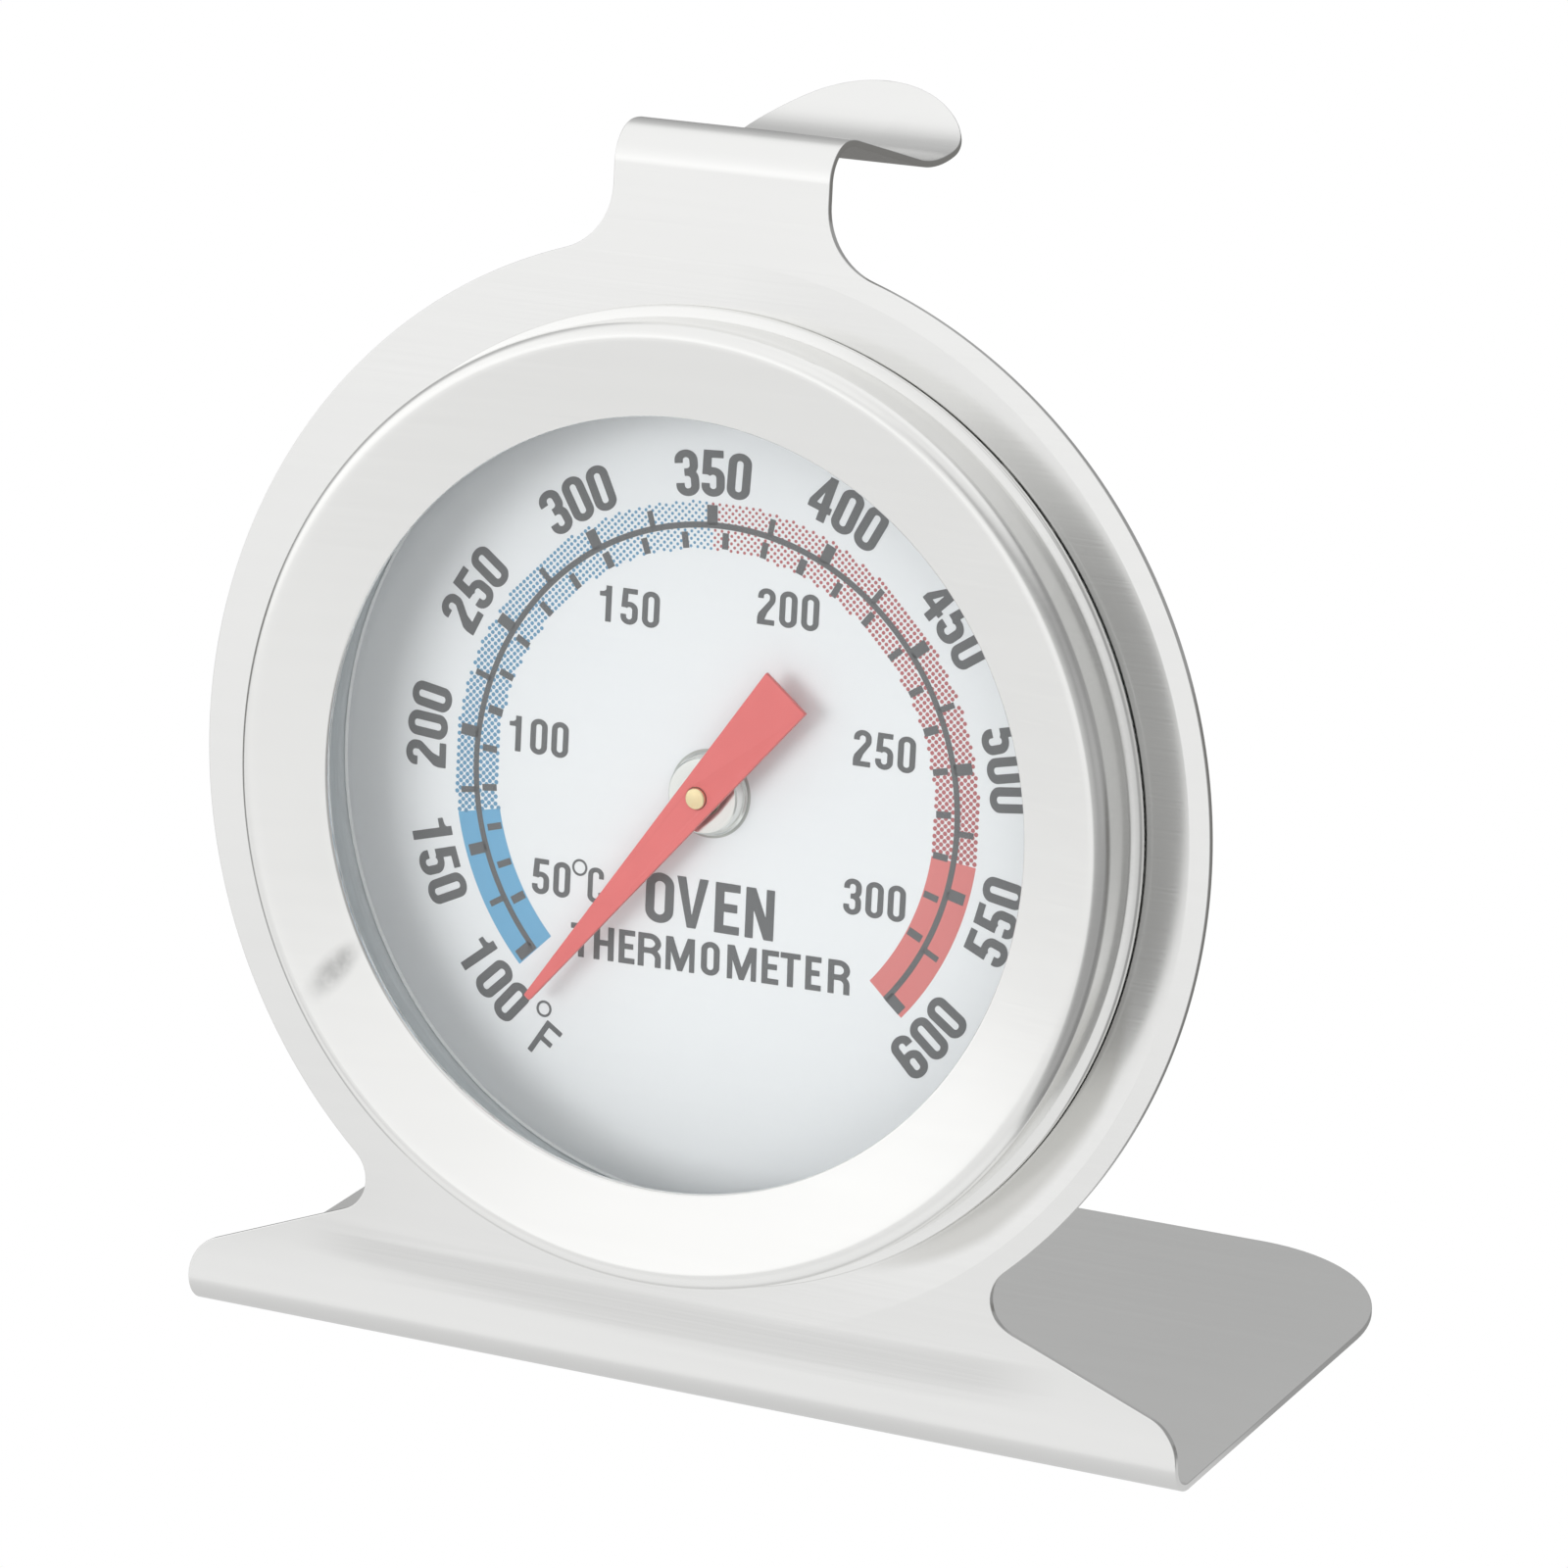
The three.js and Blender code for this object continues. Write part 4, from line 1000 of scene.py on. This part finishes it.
def printing():
    ink = Body()
    sector(ink, LINE_R - LINE_W / 2, LINE_R + LINE_W / 2, SCALE[100] + 1.2, SCALE[600] - 1.2)
    for f, a in SCALE.items():
        big = f % 50 == 0
        bar(ink, LINE_R, 16.06 if big else 15.96, a, 0.65 if big else 0.34)
    for c in range(50, 301, 10):
        big = c % 50 == 0
        bar(ink, 13.68, 14.58, on_scale(32 + 1.8 * c), 0.46 if big else 0.38)
    # outer numbers, set round the dial
    centres = {100: 223.4, 150: 200.0, 200: 175.5, 250: 148.5, 300: 121.0, 350: 92.95, 400: 66.1, 450: 38.5,
               500: 12.1, 550: -14.6, 600: -39.9}
    h, pitch, mid = 2.57, 5.2, 16.92 + 1.285
    for f, a in centres.items():
        inward = f in (100, 150, 550, 600)
        for i, ch in enumerate(str(f)):
            th = a + (i - 1) * pitch * (1 if inward else -1)
            out = mid - {300: 0.28, 350: 0.40}.get(f, 0)
            glyph(ink, ch, h, out * math.cos(th * RAD), out * math.sin(th * RAD), th + (90 if inward else -90), 0.555, 0.198, 0.163)
    ring_mark(ink, -0.3215 * R, -0.443 * R, 0.0155 * R, 0.14)
    glyph(ink, "F", 2.2, 0.594 * R * math.cos(237.8 * RAD), 0.594 * R * math.sin(237.8 * RAD), 237 + 90, 0.54, 0.15, 0.135)
    # inner numbers, upright
    h, step = 2.02, 1.345
    for text, x, z in (("50", -0.322, -0.201), ("100", -0.36, 0.054), ("150", -0.188, 0.314), ("200", 0.128, 0.349),
                       ("250", 0.33, 0.122), ("300", 0.326, -0.146)):
        for i, ch in enumerate(text):
            glyph(ink, ch, h, x * R + 0.12 + (i - (len(text) - 1) / 2) * step, z * R + 0.03, 0, 0.53, 0.172, 0.145)
    ring_mark(ink, -0.261 * R, -0.172 * R, 0.0155 * R, 0.13)
    glyph(ink, "C", h, -0.227 * R, -0.200 * R, 0, 0.49, 0.15, 0.13)
    # the two words
    cap = 0.092 * R
    for ch, x, W in (("O", -0.0945, 0.62), ("V", -0.0290, 0.69), ("E", 0.0420, 0.54), ("N", 0.1070, 0.62)):
        glyph(ink, ch, cap, x * R - 0.05, -0.2035 * R, 0.4, W, 0.185 if ch in "VN" else 0.195, 0.165)
    cap = 0.0615 * R
    spans = (("T", 475, 512), ("H", 517, 552), ("E", 562, 590), ("R", 597, 637), ("M", 647, 697), ("O", 710, 742),
             ("M", 757, 807), ("E", 818, 847), ("T", 851, 885), ("E", 895, 922), ("R", 935, 972))
    for ch, x0, x1 in spans:
        x = (((x0 + x1) / 2 - 475) * 1.016 + 475 - 720) / 900 * R
        W = (x1 - x0) * 1.05 / 900 * R / cap
        z = -0.2996 * R + x * math.tan(1.25 * RAD)
        glyph(ink, ch, cap, x, z, 1.25, W, 0.195 if ch != "M" else 0.185, 0.165)
    me = mesh_of("scale_print_grey", ink)
    piece("scale_print_grey", me, PRINT, "case", MAT["ink"], weighted=False)

    # coloured bands: solid at both ends, round dots between
    blue, red, blue_dots, red_dots = Body(), Body(), Body(), Body()
    sector(blue, BAND_IN, BAND_OUT, 224.4, 191.5, TINT_TOP)
    sector(red, BAND_IN, BAND_OUT, -6.5, -41.5, TINT_TOP)
    pitch = 0.292
    row = pitch / math.sqrt(2)
    n = int(BAND_OUT / row) + 2
    octagon = [(math.cos((k + 0.5) * math.pi / 4), math.sin((k + 0.5) * math.pi / 4)) for k in range(8)]
    ticks = [(a, 0.33 if f % 50 == 0 else 0.18, LINE_R, 16.1) for f, a in SCALE.items()]
    ticks += [(on_scale(32 + 1.8 * c), 0.2, 13.6, 14.6) for c in range(50, 301, 10)]
    for j in range(-n, n + 1):
        for i in range(-n, n + 1):
            if (i + j) % 2:
                continue
            x, z = i * row, j * row
            rad = math.hypot(x, z)
            if not BAND_IN + 0.02 < rad < BAND_OUT - 0.02:
                continue
            th = math.atan2(z, x) / RAD
            th = th if th > -90 else th + 360
            if 93.1 < th < 191.4:
                body, cover = blue_dots, 0.25 + (0.60 - 0.25) * (th - 93.1) / 98.3
            elif -6.4 < th <= 93.1:
                body, cover = red_dots, 0.25 + (0.60 - 0.25) * (93.1 - th) / 99.5
            else:
                continue
            if abs(rad - LINE_R) < LINE_W / 2 - 0.05:
                continue
            if any(lo < rad < hi and abs(th - a) * RAD * rad < half - 0.1 for a, half, lo, hi in ticks):
                continue
            rr = pitch * math.sqrt(cover / math.pi) * 1.05
            k = [(x + rr * a, z + rr * b) for a, b in octagon]
            v = [(a, -INK_LOW, b) for a, b in k] + [(a, -TINT_TOP, b) for a, b in k]
            body.add(v, [tuple(range(8)), tuple(range(15, 7, -1))] + [(i0, (i0 + 1) % 8, 8 + (i0 + 1) % 8, 8 + i0) for i0 in range(8)])
    for name, body, mat in (("scale_print_blue", blue, "blue"), ("scale_print_red", red, "red"),
                            ("scale_dots_blue", blue_dots, "bluedot"), ("scale_dots_red", red_dots, "reddot")):
        me = mesh_of(name, body)
        piece(name, me, PRINT, "case", MAT[mat], weighted=False)


printing()


# ---------------------------------------------------------------- pointer and movement
def pointer():
    a = POINTER_ANGLE * RAD
    al = (math.cos(a), math.sin(a))
    sd = (-al[1], al[0])

    def at(l, w):
        return (l * al[0] + w * sd[0], l * al[1] + w * sd[1])

    outline = rounded([at(16.3, -0.225), at(16.3, 0.225), at(-8.35, 1.6), at(-8.35, -1.6)], [0.1, 0.1, 0.05, 0.05], 4)
    hole = cw(arc(0, 0, 0.64, 0, 2 * math.pi, 40)[:-1])
    e = 0.05
    me = mesh_of("pointer_blade", slab([ccw(outline), hole], [(e, -1.25), (0.3 * e, -1.25 + 0.3 * e), (0, -1.25 + e), (0, -0.95 - e),
                                                             (0.3 * e, -0.95 - 0.3 * e), (e, -0.95)], on_dial))
    shade(me, 50)
    piece("pointer_blade", me, DIAL, "movement", MAT["pointer"], ("pointer",))


pointer()

simple_turned("spindle_pin", [(0, -0.70), (0.6, -0.78), (0.6, -1.32), (0.8, -1.36), (0.8, -8.65), (0.5, -8.65), (0.5, -10.0), (0, -10.15)],
              [0, 0.09, 0.03, 0.06, 0.06, 0.02, 0.12, 0], 64, "movement", MAT["brass"], ("spindle",))
simple_turned("front_bush_turned",
              [(1.1, -1.66), (2.05, -1.66), (2.15, -1.74), (2.21, -2.42), (2.36, -2.54), (2.36, -2.635), (1.45, -2.635), (1.45, -3.4), (2.1, -3.4),
               (1.95, -3.75), (0.89, -3.9), (0.89, -2.9), (1.1, -2.8)],
              [0.07, 0.06, 0.06, 0.1, 0.05, 0.03, 0.02, 0.02, 0.05, 0.05, 0.03, 0.03, 0.03], 96, "case", MAT["bush"], ("front_bush",))
simple_turned("rear_bush_turned",
              [(0.59, -8.85), (2.1, -8.85), (2.1, -9.15), (1.35, -9.15), (1.35, -9.85), (2.4, -9.85), (2.3, -10.25), (0.59, -10.3)],
              [0.03, 0.05, 0.03, 0.02, 0.02, 0.06, 0.12, 0.06], 96, "case", MAT["brass"], ("rear_bush",))
simple_turned("washer_ring", [(0.95, -4.45), (2.0, -4.45), (2.0, -4.15), (0.95, -4.15)], 0.06, 72, "movement", MAT["plain"], ("snap_washer",))
simple_turned("collet_sleeve", [(0.95, -8.1), (1.9, -8.1), (1.9, -4.9), (0.95, -4.9)], 0.1, 72, "movement", MAT["brass"], ("coil_collet",))


# ---------------------------------------------------------------- case cup and what hangs in it
def boolean(ob_mesh, cutter_mesh):
    a = bpy.data.objects.new("cut_a", ob_mesh)
    b = bpy.data.objects.new("cut_b", cutter_mesh)
    for o in (a, b):
        bpy.context.scene.collection.objects.link(o)
    m = a.modifiers.new("b", "BOOLEAN")
    m.operation, m.solver, m.object = "DIFFERENCE", "EXACT", b
    dg = bpy.context.evaluated_depsgraph_get()
    dg.update()
    me = bpy.data.meshes.new_from_object(a.evaluated_get(dg))
    bpy.data.objects.remove(a)
    bpy.data.objects.remove(b)
    return me


def rod_body(radius, low, high, place, angle, seg=48):
    b = lathe([(0, low), (radius, low), (radius, high), (0, high)], seg)
    out = Body()
    return out.join(b, Matrix.Translation((place * math.cos(angle), 0, place * math.sin(angle))))


def case_cup():
    outline = rounded(
        [(25.9, 0.7), (24.1, 0.7), (24.1, -3.45), (22.5, -3.45), (22.5, -8.35), (22.15, -9.05), (21.5, -9.3), (1.6, -9.3),
         (1.6, -9.7), (21.75, -9.7), (22.55, -9.4), (22.9, -8.55), (22.9, -3.85), (24.5, -3.85), (24.5, 0.3), (25.9, 0.3)],
        [0.12, 0.1, 0.25, 0.12, 0.5, 0.5, 0.5, 0.05, 0.05, 0.5, 0.5, 0.5, 0.2, 0.35, 0.2, 0.12], 5)
    cup = mesh_of("cup_raw", lathe(outline, 192))
    cutters = Body()
    for i in range(8):
        cutters.join(rod_body(1.6, -11, -8, 16.5, (i + 0.5) * math.pi / 4))
    cutters.join(rod_body(0.8, -11, -8, 11.9, POST_ANGLE))
    me = boolean(cup, mesh_of("cup_cutters", cutters))
    me.name = "case_shell"
    shade(me, 38)
    piece("case_shell", me, DIAL, "case", MAT["case"], ("case_cup",))


case_cup()


def coil():
    body = Body()
    turns, r0, r1 = 6.4, 2.4, 9.4
    n = int(turns * 72)
    start = POST_ANGLE - turns * 2 * math.pi
    mid = []
    for i in range(n + 1):
        f = i / n
        a = start + f * turns * 2 * math.pi
        r = r0 + (r1 - r0) * f
        mid.append((r * math.cos(a), r * math.sin(a)))
    t = (-math.sin(POST_ANGLE), math.cos(POST_ANGLE))
    for k in (0.8, 1.6, 2.4):
        mid.append((mid[n][0] + k * t[0], mid[n][1] + k * t[1]))
    e, half, low, high = 0.05, 0.175, -8.0, -5.0
    ring = [(-half + e, low), (half - e, low), (half, low + e), (half, high - e), (half - e, high), (-half + e, high), (-half, high - e), (-half, low + e)]
    rows = []
    for i, (x, z) in enumerate(mid):
        p, q = mid[max(0, i - 1)], mid[min(len(mid) - 1, i + 1)]
        d = math.dist(p, q)
        nx, nz = -(q[1] - p[1]) / d, (q[0] - p[0]) / d
        rows.append([len(body.v) + k for k in range(8)])
        body.v += [(x + nx * o, -h, z + nz * o) for o, h in ring]
    for a, b in zip(rows, rows[1:]):
        body.f += [(a[k], a[(k + 1) % 8], b[(k + 1) % 8], b[k]) for k in range(8)]
    body.f += [tuple(rows[0][::-1]), tuple(rows[-1])]
    raw = mesh_of("coil_raw", body)
    cut = radial_rod(0.6, 6, 14)
    # the hole for the rivet only goes through the straight end
    me = boolean(raw, mesh_of("coil_cutter", cut))
    me.name = "bimetal_strip"
    shade(me, 40)
    piece("bimetal_strip", me, DIAL, "case", MAT["bimetal"], ("bimetal_coil",))


def radial_rod(radius, low, high, seg=40, bevel=0.0):
    """A rod along the radius through the coil's outer end."""
    b = lathe(rounded([(0, low), (radius, low), (radius, high), (0, high)], [0, bevel, bevel, 0], 3), seg)
    m = (Matrix.Rotation(-POST_ANGLE, 4, "Y") @ Matrix.Translation((0, 6.5, 1.1)) @ Matrix(((0, -1, 0, 0), (1, 0, 0, 0), (0, 0, 1, 0), (0, 0, 0, 1))))
    return Body().join(b, m)


coil()


def post():
    # bent strip: foot on the floor of the cup, upright outside the coil's end
    side = rounded([(9.725, -9.1), (13.625, -9.1), (13.625, -8.6), (10.225, -8.6), (10.225, -4.8), (9.725, -4.8)],
                   [0.45, 0.1, 0.1, 0.08, 0.1, 0.1], 5)
    e = 0.06
    raw = slab([ccw(side)], [(e, -0.9), (0.3 * e, -0.9 + 0.3 * e), (0, -0.9 + e), (0, 2.7 - e), (0.3 * e, 2.7 - 0.3 * e), (e, 2.7)],
               lambda r, h, w: (r, -h, w))
    turned = Body().join(raw, Matrix.Rotation(-POST_ANGLE, 4, "Y"))
    cut = radial_rod(0.6, 6, 14)
    cut.join(rod_body(0.8, -11, -8, 11.9, POST_ANGLE, 40))
    me = boolean(mesh_of("post_raw", turned), mesh_of("post_cutter", cut))
    me.name = "post_bent"
    shade(me, 40)
    piece("post_bent", me, DIAL, "case", MAT["plain"], ("coil_post",))
    r = 9.4
    b = radial_rod(0.45, r - 0.5, r + 1.2)
    b.join(radial_rod(0.8, r - 0.62, r - 0.3, bevel=0.12)).join(radial_rod(0.8, r + 0.95, r + 1.35, bevel=0.16))
    me = mesh_of("rivet_coil", b)
    shade(me, 35)
    piece("rivet_coil", me, DIAL, "case", MAT["plain"], ("coil_rivet",))
    b = rod_body(0.6, -10.0, -8.3, 11.9, POST_ANGLE)
    for rad, lo, hi, bev in ((1.15, -8.5, -8.1, 0.14), (1.25, -10.25, -9.82, 0.2)):
        k = lathe(rounded([(0, lo), (rad, lo), (rad, hi), (0, hi)], [0, bev, bev, 0], 4), 48)
        b.join(k, Matrix.Translation((11.9 * math.cos(POST_ANGLE), 0, 11.9 * math.sin(POST_ANGLE))))
    me = mesh_of("rivet_floor", b)
    shade(me, 35)
    piece("rivet_floor", me, DIAL, "case", MAT["plain"], ("post_rivet",))


post()


# ---------------------------------------------------------------- camera
def camera():
    th, ph, ro = 0.479324, 0.316600, -0.00733853
    tx, ty, dist = -0.163527, -0.0285479, 12.43940
    b = Vector((math.sin(th) * math.cos(ph), -math.cos(th) * math.cos(ph), math.sin(ph)))
    r = Vector((math.cos(th), math.sin(th), 0))
    u = b.cross(r)
    r2 = r * math.cos(ro) + u * math.sin(ro)
    u2 = u * math.cos(ro) - r * math.sin(ro)
    place = CENTRE + (b * dist - r2 * tx - u2 * ty) * R * MM
    data = bpy.data.cameras.new("camera")
    data.sensor_width = 36.0
    data.lens = 161.564
    data.clip_start, data.clip_end = 0.01, 10.0
    cam = bpy.data.objects.new("camera", data)
    cam.matrix_world = Matrix(((r2.x, u2.x, b.x, place.x), (r2.y, u2.y, b.y, place.y), (r2.z, u2.z, b.z, place.z), (0, 0, 0, 1)))
    bpy.context.scene.collection.objects.link(cam)
    bpy.context.scene.camera = cam


camera()


# ---------------------------------------------------------------- studio
def studio():
    scene = bpy.context.scene
    scene.view_settings.view_transform = "Standard"
    scene.view_settings.look = "None"
    world = bpy.data.worlds.new("studio")
    scene.world = world
    world.use_nodes = True
    t = world.node_tree
    t.nodes.clear()
    out = t.nodes.new("ShaderNodeOutputWorld")
    bg = t.nodes.new("ShaderNodeBackground")
    white = t.nodes.new("ShaderNodeBackground")
    white.inputs[0].default_value = (1, 1, 1, 1)
    mixer = t.nodes.new("ShaderNodeMixShader")
    path = t.nodes.new("ShaderNodeLightPath")
    t.links.new(path.outputs["Is Camera Ray"], mixer.inputs[0])
    t.links.new(bg.outputs[0], mixer.inputs[1])
    t.links.new(white.outputs[0], mixer.inputs[2])
    t.links.new(mixer.outputs[0], out.inputs[0])
    co = t.nodes.new("ShaderNodeTexCoord")
    sep = t.nodes.new("ShaderNodeSeparateXYZ")
    t.links.new(co.outputs["Generated"], sep.inputs[0])

    def ramp(value, low, high, stops):
        m = t.nodes.new("ShaderNodeMapRange")
        for k, v in zip(("From Min", "From Max", "To Min", "To Max"), (low, high, 0, 1)):
            m.inputs[k].default_value = v
        t.links.new(value, m.inputs["Value"])
        n = t.nodes.new("ShaderNodeValToRGB")
        n.color_ramp.interpolation = "EASE"
        el = n.color_ramp.elements
        while len(el) > 1:
            el.remove(el[-1])
        for i, (pos, c) in enumerate(stops):
            e = el[0] if i == 0 else el.new((pos - low) / (high - low))
            e.position = (pos - low) / (high - low)
            e.color = (c[0], c[1], c[2], 1) if isinstance(c, tuple) else (c, c, c, 1)
        t.links.new(m.outputs[0], n.inputs[0])
        return n.outputs[0]

    def mix(fac, a, b, how="MIX"):
        n = t.nodes.new("ShaderNodeMix")
        n.data_type = "RGBA"
        n.blend_type = how
        if isinstance(fac, float):
            n.inputs["Factor"].default_value = fac
        else:
            t.links.new(fac, n.inputs["Factor"])
        t.links.new(a, n.inputs[6])
        t.links.new(b, n.inputs[7])
        return n.outputs[2]

    X, Y, Z = sep.outputs
    flat_front = [(-0.9, 0.72), (-0.5, 0.81), (-0.1, 0.94), (0.04, 0.95)]
    overhead = [(0.7, 0.99), (0.87, 0.99), (1.0, 0.96)]
    front_left = ramp(Z, -1, 1, flat_front[:-1] + [(-0.03, 0.95), (0.04, 1.04), (0.10, 1.08), (0.18, 1.13), (0.30, 1.10), (0.42, 1.05), (0.56, 1.02)] + overhead)
    front_mid = ramp(Z, -1, 1, flat_front + [(0.12, 0.99), (0.2, 1.0), (0.34, 0.93), (0.42, 0.87), (0.56, 0.86)] + overhead)
    front = mix(ramp(X, -1, 1, [(-0.40, 0.0), (-0.18, 1.0)]), front_left, front_mid)
    dim_right = [(-1.0, 1.03), (-0.72, 1.03), (-0.6, 1.0), (-0.12, 1.0), (-0.02, 0.96), (0.13, 0.60), (0.33, 0.54), (0.55, 0.47), (0.72, 0.40), (0.88, 0.45), (1.0, 0.46)]
    ones = t.nodes.new("ShaderNodeRGB")
    ones.outputs[0].default_value = (1, 1, 1, 1)
    sides = mix(ramp(Z, -1, 1, [(0.56, 0.0), (0.88, 0.78)]), ramp(X, -1, 1, dim_right), ones.outputs[0])
    front = mix(1.0, front, sides, "MULTIPLY")
    back_left = ramp(Z, -1, 1, [(-0.6, 0.25), (-0.1, 0.38), (0.31, 0.44), (0.55, 0.55), (0.85, 0.99)])
    back_right = ramp(Z, -1, 1, [(-0.6, 0.18), (-0.1, 0.32), (0.1, 0.35), (0.44, 0.30), (0.6, 0.35), (0.85, 0.99)])
    back = mix(ramp(X, -1, 1, [(-0.3, 0.0), (0.25, 1.0)]), back_left, back_right)
    all_round = mix(ramp(Y, -1, 1, [(-0.25, 0.0), (0.35, 1.0)]), front, back)
    t.links.new(all_round, bg.inputs[0])
    bg.inputs[1].default_value = 1.0

    # floor: plain and pale; what the steel sees of it is dimmer behind the object and to the right
    half = 1.6
    me = bpy.data.meshes.new("floor")
    me.from_pydata([(-half, -half, 0), (half, -half, 0), (half, half, 0), (-half, half, 0)], [], [(0, 1, 2, 3)])
    floor = bpy.data.objects.new("floor", me)
    floor.location = (0, 0, CAD_LOW.z - 0.0001)
    scene.collection.objects.link(floor)
    mat = bpy.data.materials.new("floor")
    mat.use_nodes = True
    t = mat.node_tree
    t.nodes.clear()
    out = t.nodes.new("ShaderNodeOutputMaterial")
    emi = t.nodes.new("ShaderNodeEmission")
    cam = t.nodes.new("ShaderNodeEmission")
    cam.inputs[0].default_value = (1, 1, 1, 1)
    mixer = t.nodes.new("ShaderNodeMixShader")
    path = t.nodes.new("ShaderNodeLightPath")
    co = t.nodes.new("ShaderNodeTexCoord")
    sep = t.nodes.new("ShaderNodeSeparateXYZ")
    flat = t.nodes.new("ShaderNodeVectorMath")
    flat.operation = "NORMALIZE"
    side = t.nodes.new("ShaderNodeSeparateXYZ")
    t.links.new(co.outputs["Object"], sep.inputs[0])
    shift = t.nodes.new("ShaderNodeVectorMath")
    shift.inputs[1].default_value = (-0.035, 0, 0)
    t.links.new(co.outputs["Object"], shift.inputs[0])
    t.links.new(shift.outputs[0], flat.inputs[0])
    t.links.new(flat.outputs[0], side.inputs[0])
    along = ramp(sep.outputs[1], -0.4, 0.2, [(-0.4, 0.91), (-0.22, 0.90), (-0.12, 0.84), (-0.07, 0.86), (-0.045, 0.84), (-0.03, 0.90), (-0.021, 0.88),
                                             (-0.016, 0.65), (0.0, 0.35), (0.03, (0.20, 0.197, 0.19))])
    across = ramp(side.outputs[0], -1, 1, [(-1.0, 1.0), (-0.02, 1.0), (0.13, 0.56), (0.33, 0.44), (1.0, 0.42)])
    keep = ramp(sep.outputs[1], -0.4, 0.2, [(-0.02, 0.0), (0.02, 1.0)])
    ones = t.nodes.new("ShaderNodeRGB")
    ones.outputs[0].default_value = (1, 1, 1, 1)
    grey = t.nodes.new("ShaderNodeRGB")
    grey.outputs[0].default_value = (0.87, 0.87, 0.87, 1)
    spot = mix(1.0, ramp(sep.outputs[0], -0.1, 0.1, [(-0.085, 0.0), (-0.07, 1.0), (-0.05, 1.0), (-0.038, 0.0)]),
               ramp(sep.outputs[1], -0.1, 0.0, [(-0.075, 0.0), (-0.06, 1.0), (-0.047, 1.0), (-0.038, 0.0)]), "MULTIPLY")
    along = mix(1.0, along, mix(spot, ones.outputs[0], grey.outputs[0]), "MULTIPLY")
    t.links.new(mix(1.0, along, mix(keep, across, ones.outputs[0]), "MULTIPLY"), emi.inputs[0])
    t.links.new(path.outputs["Is Camera Ray"], mixer.inputs[0])
    t.links.new(emi.outputs[0], mixer.inputs[1])
    t.links.new(cam.outputs[0], mixer.inputs[2])
    t.links.new(mixer.outputs[0], out.inputs[0])
    me.materials.append(mat)

    # a soft lamp from the front left shapes the painted parts; the steel mirrors the studio alone
    data = bpy.data.lights.new("key", "AREA")
    data.shape, data.size, data.size_y = "RECTANGLE", 0.6, 0.5
    data.energy = 4.3
    key = bpy.data.objects.new("key", data)
    key.location = (-0.42, -0.95, 0.17)
    key.rotation_euler = (Vector(CENTRE) - Vector(key.location)).to_track_quat("-Z", "Y").to_euler()
    key.visible_glossy = False
    key.visible_transmission = False
    scene.collection.objects.link(key)
    data = bpy.data.lights.new("fill", "AREA")
    data.shape, data.size, data.size_y = "RECTANGLE", 0.6, 0.6
    data.energy = 1.7
    fill = bpy.data.objects.new("fill", data)
    fill.location = (0.62, -0.85, 0.30)
    fill.rotation_euler = (Vector(CENTRE) - Vector(fill.location)).to_track_quat("-Z", "Y").to_euler()
    fill.visible_glossy = False
    fill.visible_transmission = False
    scene.collection.objects.link(fill)


studio()
